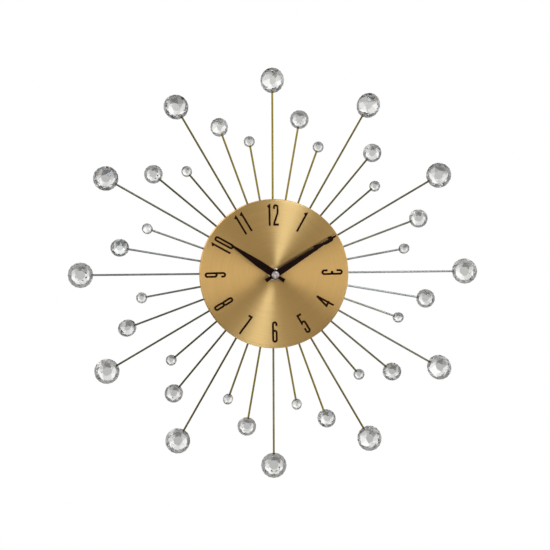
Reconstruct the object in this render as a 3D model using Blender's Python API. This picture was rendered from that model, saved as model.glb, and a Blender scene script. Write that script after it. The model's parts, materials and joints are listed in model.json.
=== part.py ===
"""Sunburst wall clock: 36 welded rods tipped with crystals, a brushed dial and a quartz movement.

Frame: metres, +Z up, the front faces -Y and the wall is the plane y = 0.
The origin is the point of the hanger that rests on the nail, in the wall plane.
"Depth" below is a distance from the wall towards the viewer, so y = -depth.
"""
import bpy
import bmesh
from math import acos, asin, cos, pi, radians, sin
from mathutils import Matrix, Vector
from mathutils.geometry import tessellate_polygon

MM = 0.001


def mm(*values):
    """Lengths in metres from millimetre values, such as the depths of a piece's two faces."""
    return tuple(value * MM for value in values)


GAP = 0.3 * MM
HANG_DROP = 36.5 * MM  # from the nail down to the hand shaft

# Sunburst: rods every 10 degrees, repeating large, medium, small clockwise from 12 o'clock
ROD_COUNT = 36
ROD_RADIUS = 0.95 * MM
ROD_START = 28.0 * MM
ROD_DEPTH = 19.2 * MM
CRYSTAL_SIZES = {
    "large": {"reach": 178.5 * MM, "radius": 12.0 * MM, "bore": 5.0 * MM},
    "medium": {"reach": 144.3 * MM, "radius": 8.9 * MM, "bore": 4.5 * MM},
    "small": {"reach": 124.0 * MM, "radius": 5.2 * MM, "bore": 3.0 * MM},
}
CRYSTAL_THICKNESS = 1.24  # over both faces, in girdle radii
TABLE_SHARE = 0.52  # table radius over girdle radius
STAR_SHARE = 0.78  # radius where the star, main and girdle facets meet
BACK_PLATE_RADIUS = 60.0 * MM
BACK_PLATE_DEPTHS = mm(16.8, 18.6)

# Dial pan, clamped on the threaded sleeve of the movement
DIAL_RADIUS = 68.9 * MM
DIAL_SHEET = 0.8 * MM
DIAL_BACK = 20.6 * MM
DIAL_FRONT = 31.5 * MM
DIAL_EDGE_RADIUS = 0.8 * MM
SLEEVE_RADIUS = 3.9 * MM
SLEEVE_BORE = 2.9 * MM
SLEEVE_END = 37.0 * MM
SLEEVE_HOLE = SLEEVE_RADIUS + GAP
WASHER_RADIUS = 5.8 * MM
WASHER_DEPTHS = mm(31.8, 32.4)
HEX_NUT_FLATS = 10.4 * MM
HEX_NUT_DEPTHS = mm(32.7, 35.7)

# Hands: a hub disc, a blade that tapers slowly to its shoulder and then to its tip, and a tail
HAND_HUB_RADIUS = 3.7 * MM
SHOULDER_SHARE = 0.35  # place of the shoulder along the hand
HAND_TAIL = 10.5 * MM
TAIL_HALF_WIDTHS = mm(1.3, 1.8)  # at the hub and at the end
MINUTE_LENGTH = 67.0 * MM
MINUTE_HALF_WIDTHS = mm(3.2, 2.7, 1.05)  # at the hub, the shoulder and the tip
MINUTE_ANGLE = 57.8
MINUTE_HAND_DEPTHS = mm(40.7, 41.3)
HOUR_LENGTH = 49.0 * MM
HOUR_HALF_WIDTHS = mm(3.5, 3.4, 1.25)
HOUR_ANGLE = 304.4
HOUR_HAND_DEPTHS = mm(38.0, 38.6)
HOUR_COLLAR_RADIUS = 3.5 * MM
HOUR_COLLAR_START = 37.3 * MM

# Shafts under the hands: the minute arbor turns in the hour tube, which turns in the sleeve
ARBOR_RADIUS = 1.55 * MM
ARBOR_SHOULDER = 40.4 * MM
ARBOR_TIP_RADIUS = 1.0 * MM
ARBOR_END = 43.8 * MM
HOUR_TUBE_BORE = 1.9 * MM
HOUR_TUBE_RADIUS = 2.5 * MM
HOUR_TUBE_END = 39.2 * MM
HAND_NUT_RADIUS = 3.6 * MM
HAND_NUT_DEPTHS = mm(41.6, 45.0)
HAND_NUT_BLIND = 44.1 * MM  # where its blind hole ends

# Movement case, open at the back: a gear well above a battery bay
CASE_HALF_WIDTH = 29.0 * MM
CASE_HALF_HEIGHT = 28.5 * MM
CASE_DEPTH = 16.5 * MM
CASE_WALL = 1.2 * MM
CASE_FLOOR = CASE_DEPTH - CASE_WALL
WELL_BOTTOM = -10.0 * MM
BAY_TOP = -11.2 * MM
COVER_DEPTHS = mm(2.3, 3.5)
COVER_CLEARANCE = 0.3 * MM
PIVOT = 0.4 * MM
PIVOT_HOLE = PIVOT + GAP
REAR_PIVOT_END = 3.1 * MM  # pivot tips in the cover
FRONT_PIVOT_END = 15.8 * MM  # pivot tips in the case
STEP_POST_RADIUS = 0.45 * MM
MOTION_POST_RADIUS = 0.6 * MM
STATOR_POST_RADIUS = 1.2 * MM
STATOR_POSTS = (mm(7.7, 16.5), mm(20.1, 12.0))

# Hanger tab with an arched hole for the nail
HANGER_TOP = 40.5 * MM
HANGER_THICKNESS = 2.5 * MM
HANGER_HALF_WIDTH = 11.0 * MM
HANGER_CHAMFER = 5.0 * MM
HANGER_ARCH_RADIUS = 4.0 * MM
HANGER_HOLE_BOTTOM = 30.5 * MM

# Battery, size AA
BATTERY_RADIUS = 7.1 * MM
BATTERY_BODY = 48.8 * MM
BATTERY_SHOULDER = 0.6 * MM
BATTERY_NUB = 1.4 * MM
BATTERY_NUB_RADIUS = 2.7 * MM
BATTERY_LEFT = -24.3 * MM
BATTERY_DEPTH = 7.9 * MM
BATTERY_HEIGHT = -19.3 * MM

# Contacts, board and motor
LEAF_THICKNESS = 0.35 * MM
LEAF_DEPTHS = mm(5.0, 11.0)
STRIP_DEPTHS = mm(14.5, 14.9)
BOARD_X = mm(-26.5, -16.8)
BOARD_Z = mm(-8.8, 24.0)
BOARD_DEPTHS = mm(13.2, 14.2)
CHIP_CENTRE = mm(-21.6, 9.0)
CHIP_RADIUS = 3.2 * MM
CRYSTAL_CAN_PLACE = (-21.6 * MM, -12.6 * MM, 21.5 * MM)
CRYSTAL_CAN_RADIUS = 1.0 * MM
CRYSTAL_CAN_LENGTH = 6.0 * MM
COIL_LEFT = 6.0 * MM
COIL_DEPTH = 10.5 * MM
COIL_HEIGHT = 21.4 * MM
COIL_LENGTH = 15.8 * MM
CORE_END = 3.4 * MM  # bare core at each end of the coil, as wide as a stator arm
FLANGE_THICKNESS = 0.8 * MM
STATOR_DEPTHS = mm(9.0, 9.8)
ROTOR_WINDOW = 3.5 * MM
MAGNET_RADIUS = 3.0 * MM

# Gear train: (teeth, module). Each wheel meshes with the pinion named beside it
STEP_WHEEL = (36, 0.36 * MM)
ROTOR_PINION = (6, 0.36 * MM)
SECONDS_WHEEL = (40, 0.40 * MM)
STEP_PINION = (8, 0.40 * MM)
THIRD_WHEEL = (45, 0.36 * MM)
SECONDS_PINION = (6, 0.36 * MM)
CENTRE_WHEEL = (48, 0.34 * MM)
THIRD_PINION = (6, 0.34 * MM)
MOTION_WHEEL = (30, 0.45 * MM)
CANNON_PINION = (10, 0.45 * MM)
KNOB_PINION = (10, 0.45 * MM)
HOUR_WHEEL = (32, 0.45 * MM)
MOTION_PINION = (8, 0.45 * MM)

# Tooth shapes, in modules beyond and below the pitch circle and as shares of the tooth pitch
WHEEL_TOOTH = {"addendum": 0.8, "dedendum": 1.35, "root": 0.50, "tip": 0.17}
PINION_TOOTH = {"addendum": 0.6, "dedendum": 1.3, "root": 0.42, "tip": 0.17}

# Levels of the trains, as depths of each layer's two faces
STEP_PINION_LEVEL = mm(3.9, 6.4)
STEP_WHEEL_LEVEL = mm(6.4, 7.2)
SECONDS_WHEEL_LEVEL = mm(4.7, 5.5)
SECONDS_PINION_LEVEL = mm(7.7, 9.2)
SECONDS_FRONT_PIVOT = 10.8 * MM
ROTOR_PINION_LEVEL = mm(6.0, 7.6)
MAGNET_LEVEL = mm(8.3, 10.5)
THIRD_WHEEL_LEVEL = mm(8.1, 8.9)
THIRD_PINION_LEVEL = mm(9.6, 11.2)
CENTRE_WHEEL_LEVEL = mm(10.0, 10.8)
CENTRE_HUB_LEVEL = mm(9.6, 11.2)
CANNON_LEVEL = mm(11.6, 13.2)
ARBOR_REAR = 9.5 * MM
MOTION_POST_END = 11.5 * MM
MOTION_WHEEL_LEVEL = mm(12.0, 12.8)
MOTION_PINION_LEVEL = mm(12.8, 15.0)
HOUR_WHEEL_LEVEL = mm(13.9, 14.7)
KNOB_DISC_LEVEL = mm(0.4, 1.9)
KNOB_RADIUS = 5.5 * MM
KNOB_SHAFT_RADIUS = 1.3 * MM

# Wheel hubs, bores and plain arbors
WHEEL_ARBOR_RADIUS = 0.5 * MM
THIRD_SHOULDER = 4.6 * MM
CLUTCH_BORE = 1.6 * MM
CLUTCH_RADIUS = 1.25 * MM
CLUTCH_HUB_RADIUS = 2.6 * MM
POST_CLEARANCE = 0.3 * MM

# Directions between the arbors, in degrees anticlockwise from +X as seen from the front
THIRD_DIRECTION = 135.0
STEP_DIRECTION = 45.0
ROTOR_DIRECTION = 25.0
MOTION_DIRECTION = -15.0
KNOB_DIRECTION = 10.0

CLOCK_AXIS = None  # the empty on the hand shaft that carries every piece


# ---------------------------------------------------------------- materials


def make_material(name, colour, roughness, metallic=0.0, transmission=0.0):
    material = bpy.data.materials.new(name)
    material.use_nodes = True
    shader = material.node_tree.nodes["Principled BSDF"]
    shader.inputs["Base Color"].default_value = (*colour, 1.0)
    shader.inputs["Roughness"].default_value = roughness
    shader.inputs["Metallic"].default_value = metallic
    shader.inputs["Transmission Weight"].default_value = transmission
    material.diffuse_color = (*colour, 1.0)
    return material


def make_materials():
    return {
        "dial_gold": make_material("dial_gold", (0.56, 0.37, 0.15), 0.35, 1.0),
        "rod_brass": make_material("rod_brass", (0.32, 0.25, 0.13), 0.3, 1.0),
        "crystal": make_material("crystal", (0.95, 0.95, 0.95), 0.02, 0.0, 1.0),
        "hand_black": make_material("hand_black", (0.012, 0.009, 0.008), 0.4),
        "nickel": make_material("nickel", (0.62, 0.60, 0.58), 0.25, 1.0),
        "brass": make_material("brass", (0.60, 0.45, 0.18), 0.3, 1.0),
        "black_plastic": make_material("black_plastic", (0.02, 0.02, 0.021), 0.45),
        "gear_plastic": make_material("gear_plastic", (0.78, 0.76, 0.70), 0.4),
        "battery_wrap": make_material("battery_wrap", (0.05, 0.16, 0.09), 0.3),
        "spring_steel": make_material("spring_steel", (0.55, 0.55, 0.54), 0.3, 1.0),
        "board_green": make_material("board_green", (0.03, 0.14, 0.06), 0.4),
        "coil_copper": make_material("coil_copper", (0.45, 0.17, 0.07), 0.35, 1.0),
        "magnet": make_material("magnet", (0.10, 0.10, 0.10), 0.45, 0.6),
    }


# ---------------------------------------------------------------- outlines, as (x, z) points


def circle(radius, segments, centre=(0.0, 0.0), phase=0.0):
    turn = 2.0 * pi / segments
    angles = [phase + turn * i for i in range(segments)]
    return [(centre[0] + radius * cos(a), centre[1] + radius * sin(a)) for a in angles]


def rectangle(left, right, bottom, top):
    return [(left, bottom), (right, bottom), (right, top), (left, top)]


def gear_outline(gear, tooth, phase):
    """Straight-sided teeth with running clearance, one of them centred on the phase angle."""
    teeth, module = gear
    pitch_radius = teeth * module / 2.0
    root_radius = pitch_radius - tooth["dedendum"] * module
    tip_radius = pitch_radius + tooth["addendum"] * module
    step = 2.0 * pi / teeth
    points = []
    for i in range(teeth):
        middle = phase + i * step
        for radius, offset in (
            (root_radius, -tooth["root"] / 2.0),
            (tip_radius, -tooth["tip"] / 2.0),
            (tip_radius, tooth["tip"] / 2.0),
            (root_radius, tooth["root"] / 2.0),
        ):
            angle = middle + offset * step
            points.append((radius * cos(angle), radius * sin(angle)))
    return points


def meshed_phase(teeth, phase, direction, mate_teeth):
    """Phase of the mate, placed along direction, whose gaps face the first gear's teeth."""
    return direction + pi - (phase - direction) * teeth / mate_teeth - pi / mate_teeth


def knurled_circle(radius, lobes, groove):
    points = []
    for i in range(lobes * 3):
        depth = groove if i % 3 == 0 else 0.0
        angle = 2.0 * pi * i / (lobes * 3)
        points.append(((radius - depth) * cos(angle), (radius - depth) * sin(angle)))
    return points


def hand_outline(length, half_widths):
    """Outline of a hand that points up (+Z), with its half widths at hub, shoulder and tip."""
    hub_half, shoulder_half, tip_half = half_widths
    right = [(tip_half, length), (shoulder_half, SHOULDER_SHARE * length)]
    first = acos(hub_half / HAND_HUB_RADIUS)
    last = -pi / 2.0 + asin(TAIL_HALF_WIDTHS[0] / HAND_HUB_RADIUS)
    arc_steps = 9
    for i in range(arc_steps + 1):
        angle = first + (last - first) * i / arc_steps
        right.append((HAND_HUB_RADIUS * cos(angle), HAND_HUB_RADIUS * sin(angle)))
    right.append((TAIL_HALF_WIDTHS[1], -HAND_TAIL))
    left = [(-x, z) for x, z in reversed(right)]
    return right + left


def ribbon(points, thickness):
    """Outline of a bent strip: the line through the points, thickened evenly."""
    path = [Vector(p) for p in points]
    sides = ([], [])
    for i, point in enumerate(path):
        before = (point - path[i - 1]).normalized() if i > 0 else None
        after = (path[i + 1] - point).normalized() if i + 1 < len(path) else None
        first = before or after
        second = after or before
        bisector = (Vector((-first.y, first.x)) + Vector((-second.y, second.x))).normalized()
        half_angle_cosine = bisector.dot(Vector((-first.y, first.x)))
        reach = min(thickness / 2.0 / half_angle_cosine, thickness * 1.5)
        sides[0].append(tuple(point + bisector * reach))
        sides[1].append(tuple(point - bisector * reach))
    return sides[0] + sides[1][::-1]


def polar(distance, direction_degrees, start=(0.0, 0.0)):
    angle = radians(direction_degrees)
    return (start[0] + distance * cos(angle), start[1] + distance * sin(angle))


def centre_distance(wheel, pinion):
    return (wheel[0] + pinion[0]) * wheel[1] / 2.0


THIRD_CENTRE = polar(centre_distance(THIRD_WHEEL, SECONDS_PINION), THIRD_DIRECTION)
STEP_CENTRE = polar(centre_distance(SECONDS_WHEEL, STEP_PINION), STEP_DIRECTION)
ROTOR_CENTRE = polar(centre_distance(STEP_WHEEL, ROTOR_PINION), ROTOR_DIRECTION, STEP_CENTRE)
MOTION_CENTRE = polar(centre_distance(MOTION_WHEEL, CANNON_PINION), MOTION_DIRECTION)
KNOB_CENTRE = polar(centre_distance(MOTION_WHEEL, KNOB_PINION), KNOB_DIRECTION, MOTION_CENTRE)


# ---------------------------------------------------------------- solids


def stack_mesh(name, sections):
    """Prisms end to end as one closed solid: (start depth, end depth, outline, bore or None)."""
    bm = bmesh.new()
    rings = {}

    def ring(outline, depth):
        key = (id(outline), round(depth * 1e7))
        if key not in rings:
            rings[key] = [bm.verts.new((x, -depth, z)) for x, z in outline]
        return rings[key]

    def wall(outline, start, end):
        near = ring(outline, start)
        far = ring(outline, end)
        for i in range(len(near)):
            j = (i + 1) % len(near)
            bm.faces.new((near[i], near[j], far[j], far[i]))

    def flat(outlines, depth):
        loops = [ring(outline, depth) for outline in outlines]
        verts = [vert for loop in loops for vert in loop]
        for corners in tessellate_polygon([[vert.co for vert in loop] for loop in loops]):
            bm.faces.new([verts[i] for i in corners])

    for start, end, outline, bore in sections:
        wall(outline, start, end)
        if bore:
            wall(bore, start, end)
    first, last = sections[0], sections[-1]
    flat([outline for outline in first[2:] if outline], first[0])
    flat([outline for outline in last[2:] if outline], last[1])
    for before, after in zip(sections, sections[1:]):
        for one, other in zip(before[2:], after[2:]):
            if one is not other:
                flat([outline for outline in (one, other) if outline], before[1])
    bmesh.ops.recalc_face_normals(bm, faces=bm.faces)
    return finish_mesh(bm, name)


def lathe_mesh(name, profile, segments):
    """A ring solid turned about the shaft from a closed profile of (radius, depth) points."""
    bm = bmesh.new()
    loops = []
    for radius, depth in profile:
        loops.append([bm.verts.new((x, -depth, z)) for x, z in circle(radius, segments)])
    for inner, outer in zip(loops, loops[1:] + loops[:1]):
        for i in range(segments):
            j = (i + 1) % segments
            bm.faces.new((inner[i], inner[j], outer[j], outer[i]))
    bmesh.ops.recalc_face_normals(bm, faces=bm.faces)
    return finish_mesh(bm, name)


def box_mesh(name, x_range, depths, z_range):
    return stack_mesh(name, [(*depths, rectangle(*x_range, *z_range), None)])


def finish_mesh(bm, name):
    mesh = bpy.data.meshes.new(name)
    bm.to_mesh(mesh)
    bm.free()
    return mesh


def smooth(mesh, sharp_degrees=35.0):
    mesh.shade_smooth()
    mesh.set_sharp_from_angle(angle=radians(sharp_degrees))
    return mesh


def combined(base, tool, operation):
    """The mesh of base after a Boolean with tool. Neither mesh is used again."""
    base_object = bpy.data.objects.new("boolean_base", base)
    tool_object = bpy.data.objects.new("boolean_tool", tool)
    for scratch in (base_object, tool_object):
        bpy.context.collection.objects.link(scratch)
    modifier = base_object.modifiers.new("boolean", "BOOLEAN")
    modifier.operation = operation
    modifier.solver = "EXACT"
    modifier.object = tool_object
    bpy.context.view_layer.update()
    evaluated = base_object.evaluated_get(bpy.context.evaluated_depsgraph_get())
    result = bpy.data.meshes.new_from_object(evaluated)
    for scratch in (base_object, tool_object):
        bpy.data.objects.remove(scratch)
    bpy.data.meshes.remove(base)
    bpy.data.meshes.remove(tool)
    return result


def joined(meshes):
    """One mesh holding separate closed bodies, for use as a Boolean tool."""
    bm = bmesh.new()
    for mesh in meshes:
        bm.from_mesh(mesh)
        bpy.data.meshes.remove(mesh)
    return finish_mesh(bm, "tools")


def rod_tool(centre, radius, depths, segments=8):
    outline = circle(radius, segments, centre, pi / segments)
    return stack_mesh("tool", [(*depths, outline, None)])


def place(name, mesh, material, location=(0.0, 0.0, 0.0), turn=0.0):
    """Adds the named piece, turned clockwise about its own depth axis as seen from the front."""
    piece = bpy.data.objects.new(name, mesh)
    bpy.context.collection.objects.link(piece)
    mesh.name = name
    if not mesh.materials:
        mesh.materials.append(material)
    piece.parent = CLOCK_AXIS
    piece.location = location
    piece.rotation_euler = (0.0, turn, 0.0)
    return piece


def at(centre):
    """Location of an arbor given by its (x, z) place behind the dial."""
    return (centre[0], 0.0, centre[1])


# ---------------------------------------------------------------- sunburst


def crystal_mesh(radius, bore_depth):
    """A bead cut like a brilliant on both faces, drilled at the rim towards -Z for its rod."""
    half = CRYSTAL_THICKNESS * radius / 2.0
    table = TABLE_SHARE * radius
    star = STAR_SHARE * radius
    eighth = pi / 4.0
    along_main = (star * cos(eighth / 2.0) - table) / (radius - table)
    star_height = half * (1.0 - along_main)
    bm = bmesh.new()
    girdle = [bm.verts.new((x, 0.0, z)) for x, z in circle(radius, 16, phase=eighth / 2.0)]
    for side in (-1.0, 1.0):
        tables = [bm.verts.new((x, side * half, z)) for x, z in circle(table, 8, phase=eighth / 2.0)]
        stars = [bm.verts.new((x, side * star_height, z)) for x, z in circle(star, 8, phase=eighth)]
        bm.faces.new(tables)
        for i in range(8):
            j = (i + 1) % 8
            tip = girdle[2 * i]
            notch = girdle[2 * i + 1]
            next_tip = girdle[2 * j]
            bm.faces.new((tables[i], stars[i], tables[j]))
            bm.faces.new((tables[i], stars[i - 1], tip, stars[i]))
            bm.faces.new((stars[i], tip, notch))
            bm.faces.new((stars[i], notch, next_tip))
    bmesh.ops.recalc_face_normals(bm, faces=bm.faces)
    mesh = finish_mesh(bm, "crystal")
    bore = rod_tool((0.0, 0.0), (ROD_RADIUS + GAP) / cos(pi / 6), (-bore_depth, bore_depth), 6)
    bore.transform(Matrix.Translation((0.0, 0.0, -radius)) @ Matrix.Rotation(pi / 2.0, 4, "X"))
    return combined(mesh, bore, "DIFFERENCE")


def spoke_frame_mesh(lengths):
    """A round back plate with every rod welded across its front face, as one solid."""
    rods = []
    for i, length in enumerate(lengths):
        rod = stack_mesh("rod", [(-length, -ROD_START, circle(ROD_RADIUS, 8, phase=pi / 8.0), None)])
        rod.transform(Matrix.Rotation(pi / 2.0, 4, "X"))
        rod.transform(Matrix.Rotation(2.0 * pi * i / ROD_COUNT, 4, "Y"))
        rod.transform(Matrix.Translation((0.0, -ROD_DEPTH, 0.0)))
        rods.append(rod)
    outline = circle(BACK_PLATE_RADIUS, 72)
    hole = circle(SLEEVE_HOLE, 20)
    plate = stack_mesh("plate", [(*BACK_PLATE_DEPTHS, outline, hole)])
    return smooth(combined(plate, joined(rods), "UNION"))


def build_sunburst(materials):
    sizes = list(CRYSTAL_SIZES)
    meshes = {}
    for size, data in CRYSTAL_SIZES.items():
        meshes[size] = crystal_mesh(data["radius"], data["bore"])
        meshes[size].materials.append(materials["crystal"])
    lengths = []
    for i in range(ROD_COUNT):
        size = sizes[i % 3]
        data = CRYSTAL_SIZES[size]
        turn = 2.0 * pi * i / ROD_COUNT
        lengths.append(data["reach"] - data["radius"] + data["bore"] - GAP)
        spot = (data["reach"] * sin(turn), -ROD_DEPTH, data["reach"] * cos(turn))
        place(f"crystal_{size}_{i // 3 + 1:02d}", meshes[size], None, spot, turn)
    place("spoke_frame", spoke_frame_mesh(lengths), materials["rod_brass"])


# ---------------------------------------------------------------- dial, nut and hands


def dial_mesh():
    """A spun pan: flat face, rounded edge and a skirt that stands on the rods."""
    inner_radius = DIAL_RADIUS - DIAL_SHEET
    face_back = DIAL_FRONT - DIAL_SHEET
    profile = [(SLEEVE_HOLE, face_back), (inner_radius, face_back), (inner_radius, DIAL_BACK)]
    profile.append((DIAL_RADIUS, DIAL_BACK))
    for i in range(4):
        angle = pi / 2.0 * i / 3.0
        radius = DIAL_RADIUS - DIAL_EDGE_RADIUS * (1.0 - cos(angle))
        profile.append((radius, DIAL_FRONT - DIAL_EDGE_RADIUS * (1.0 - sin(angle))))
    profile.append((SLEEVE_HOLE, DIAL_FRONT))
    return smooth(lathe_mesh("dial", profile, 72))


def hand_mesh(length, half_widths, bore_radius, collar, depths):
    """A flat hand with a collar behind its hub; collar is (radius, start depth) or None."""
    outline = hand_outline(length, half_widths)
    bore = circle(bore_radius, 16)
    sections = [(*depths, outline, bore)]
    if collar:
        sections.insert(0, (collar[1], depths[0], circle(collar[0], 20), bore))
    return stack_mesh("hand", sections)


def hand_nut_mesh():
    """A low domed cap nut, threaded from behind."""
    start, end = HAND_NUT_DEPTHS
    bore = circle(ARBOR_TIP_RADIUS + GAP, 12)
    body = circle(HAND_NUT_RADIUS, 24)
    shoulder = circle(HAND_NUT_RADIUS * 0.93, 24)
    crown = circle(HAND_NUT_RADIUS * 0.72, 24)
    sections = [
        (start, HAND_NUT_BLIND, body, bore),
        (HAND_NUT_BLIND, end - 0.7 * MM, body, None),
        (end - 0.7 * MM, end - 0.3 * MM, shoulder, None),
        (end - 0.3 * MM, end, crown, None),
    ]
    return smooth(stack_mesh("hand_nut", sections))


def build_dial_and_hands(materials):
    place("dial", dial_mesh(), materials["dial_gold"])
    sleeve_bore = circle(SLEEVE_HOLE, 20)
    washer = stack_mesh("dial_washer", [(*WASHER_DEPTHS, circle(WASHER_RADIUS, 24), sleeve_bore)])
    place("dial_washer", smooth(washer), materials["brass"])
    hexagon = circle(HEX_NUT_FLATS / 2.0 / cos(pi / 6.0), 6)
    hex_nut = stack_mesh("hex_nut", [(*HEX_NUT_DEPTHS, hexagon, sleeve_bore)])
    place("hex_nut", hex_nut, materials["brass"])
    collar = (HOUR_COLLAR_RADIUS, HOUR_COLLAR_START)
    hour = hand_mesh(HOUR_LENGTH, HOUR_HALF_WIDTHS, HOUR_TUBE_RADIUS + GAP, collar, HOUR_HAND_DEPTHS)
    minute = hand_mesh(MINUTE_LENGTH, MINUTE_HALF_WIDTHS, ARBOR_TIP_RADIUS + GAP, None, MINUTE_HAND_DEPTHS)
    place("hour_hand", hour, materials["hand_black"], turn=radians(HOUR_ANGLE))
    place("minute_hand", minute, materials["hand_black"], turn=radians(MINUTE_ANGLE))
    place("hand_nut", hand_nut_mesh(), materials["nickel"])


# ---------------------------------------------------------------- movement case


def rounded_box_mesh(x_range, depths, z_range, radius, steps):
    """A plate whose four corners are rounded as seen from the front."""
    outline = []
    corners = (
        (x_range[1] - radius, z_range[1] - radius),
        (x_range[0] + radius, z_range[1] - radius),
        (x_range[0] + radius, z_range[0] + radius),
        (x_range[1] - radius, z_range[0] + radius),
    )
    for quarter, (x, z) in enumerate(corners):
        for i in range(steps + 1):
            angle = pi / 2.0 * (quarter + i / steps)
            outline.append((x + radius * cos(angle), z + radius * sin(angle)))
    return stack_mesh("box", [(*depths, outline, None)])


def hanger_mesh():
    """A flat tab above the case with an arched hole; the nail bears on the arch."""
    half = HANGER_HALF_WIDTH
    inner = half - HANGER_CHAMFER
    shoulder = HANGER_TOP - HANGER_CHAMFER
    outline = [(-half, CASE_HALF_HEIGHT - CASE_WALL), (half, CASE_HALF_HEIGHT - CASE_WALL)]
    outline += [(half, shoulder), (inner, HANGER_TOP), (-inner, HANGER_TOP), (-half, shoulder)]
    radius = HANGER_ARCH_RADIUS
    hole = [(-radius, HANGER_HOLE_BOTTOM), (radius, HANGER_HOLE_BOTTOM)]
    for i in range(9):
        angle = pi * i / 8.0
        hole.append((radius * cos(angle), HANG_DROP - radius + radius * sin(angle)))
    return stack_mesh("hanger", [(0.0, HANGER_THICKNESS, outline, hole)])


def movement_case_mesh():
    well_right = CASE_HALF_WIDTH - CASE_WALL
    well_top = CASE_HALF_HEIGHT - CASE_WALL
    inside = (-well_right, well_right)
    outer = (-CASE_HALF_WIDTH, CASE_HALF_WIDTH)
    heights = (-CASE_HALF_HEIGHT, CASE_HALF_HEIGHT)
    open_to_floor = (-2.0 * MM, CASE_FLOOR)
    case = rounded_box_mesh(outer, (0.0, CASE_DEPTH), heights, 3.0 * MM, 4)
    well = rounded_box_mesh(inside, open_to_floor, (WELL_BOTTOM, well_top), 2.0 * MM, 3)
    bay = rounded_box_mesh(inside, open_to_floor, (-well_top, BAY_TOP), 1.0 * MM, 2)
    case = combined(case, joined([well, bay]), "DIFFERENCE")
    sleeve = rod_tool((0.0, 0.0), SLEEVE_RADIUS, (CASE_FLOOR + 0.5 * MM, SLEEVE_END), 32)
    root = CASE_FLOOR + 0.5 * MM
    posts = [rod_tool(MOTION_CENTRE, MOTION_POST_RADIUS, (MOTION_POST_END, root))]
    for centre in STATOR_POSTS:
        posts.append(rod_tool(centre, STATOR_POST_RADIUS, (STATOR_DEPTHS[1] + GAP, root)))
    case = combined(case, joined([sleeve, hanger_mesh()] + posts), "UNION")
    slots = [
        box_mesh("slot", (-24.8 * MM, -20.7 * MM), (14.1 * MM, 15.2 * MM), (-12.0 * MM, -9.0 * MM)),
        box_mesh("slot", (-27.6 * MM, -26.3 * MM), (4.5 * MM, 11.5 * MM), (-12.0 * MM, -9.0 * MM)),
    ]
    bore = rod_tool((0.0, 0.0), SLEEVE_BORE, (CASE_FLOOR - 1.0 * MM, SLEEVE_END + 1.0 * MM), 24)
    pivots = [
        rod_tool(centre, PIVOT_HOLE, (CASE_FLOOR - 0.5 * MM, CASE_FLOOR + 0.8 * MM))
        for centre in (THIRD_CENTRE, ROTOR_CENTRE, KNOB_CENTRE)
    ]
    return smooth(combined(case, joined(slots + [bore] + pivots), "DIFFERENCE"))


def rear_cover_mesh():
    """The lid of the gear well, with pivot bosses, the step wheel's post and the knob's hole."""
    half = CASE_HALF_WIDTH - CASE_WALL - COVER_CLEARANCE
    heights = (WELL_BOTTOM + COVER_CLEARANCE, CASE_HALF_HEIGHT - CASE_WALL - COVER_CLEARANCE)
    cover = rounded_box_mesh((-half, half), COVER_DEPTHS, heights, 2.0 * MM, 3)
    outer, inner = COVER_DEPTHS
    root = inner - 0.4 * MM
    pivoted = ((0.0, 0.0), THIRD_CENTRE, ROTOR_CENTRE)
    bosses = [rod_tool(centre, 1.5 * MM, (root, inner + 0.8 * MM), 12) for centre in pivoted]
    post = rod_tool(STEP_CENTRE, STEP_POST_RADIUS, (root, STEP_WHEEL_LEVEL[1] + 0.5 * MM))
    cover = combined(cover, joined(bosses + [post]), "UNION")
    pivot_depths = (REAR_PIVOT_END - GAP, inner + 1.5 * MM)
    holes = [rod_tool(centre, PIVOT_HOLE, pivot_depths) for centre in pivoted]
    knob_hole = (outer - 1.0 * MM, inner + 1.0 * MM)
    holes.append(rod_tool(KNOB_CENTRE, KNOB_SHAFT_RADIUS + 0.4 * MM, knob_hole, 16))
    return smooth(combined(cover, joined(holes), "DIFFERENCE"))


# ---------------------------------------------------------------- battery and electrics


def sideways(mesh, start_x, depth, height):
    """Lays a stack along +X, from start_x on, with its axis at the given depth and height."""
    mesh.transform(Matrix.Rotation(pi / 2.0, 4, "Z"))
    mesh.transform(Matrix.Translation((start_x, -depth, height)))
    return mesh


def battery_mesh():
    body = circle(BATTERY_RADIUS, 28)
    shoulder = circle(BATTERY_RADIUS - BATTERY_SHOULDER, 28)
    nub = circle(BATTERY_NUB_RADIUS, 16)
    sections = [
        (0.0, 0.5 * MM, shoulder, None),
        (0.5 * MM, BATTERY_BODY - 0.5 * MM, body, None),
        (BATTERY_BODY - 0.5 * MM, BATTERY_BODY, shoulder, None),
        (BATTERY_BODY, BATTERY_BODY + BATTERY_NUB, nub, None),
    ]
    return smooth(stack_mesh("battery", sections))


def contact_negative_mesh():
    """A folded leaf spring whose knee presses on the battery; its tongue rises beside the board."""
    back = -27.0 * MM
    knee = BATTERY_LEFT - 0.7 * MM
    path = [
        (back, -3.0 * MM),
        (back, -25.6 * MM),
        (knee, BATTERY_HEIGHT - 0.5 * MM),
        (knee, BATTERY_HEIGHT + 0.5 * MM),
        (back + 0.8 * MM, -13.0 * MM),
    ]
    return stack_mesh("contact", [(*LEAF_DEPTHS, ribbon(path, LEAF_THICKNESS), None)])


def contact_positive_mesh():
    """A plate at the battery's nub, joined to a strip in the corner of the bay and a tongue."""
    plate = box_mesh("plate", mm(26.2, 26.6), (3.0 * MM, STRIP_DEPTHS[1]), mm(-24.0, -12.2))
    run = box_mesh("run", mm(-24.0, 26.4), STRIP_DEPTHS, mm(-13.9, -11.5))
    tongue = box_mesh("tongue", mm(-24.0, -21.5), STRIP_DEPTHS, mm(-12.5, -5.0))
    return combined(combined(plate, run, "UNION"), tongue, "UNION")


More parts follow.
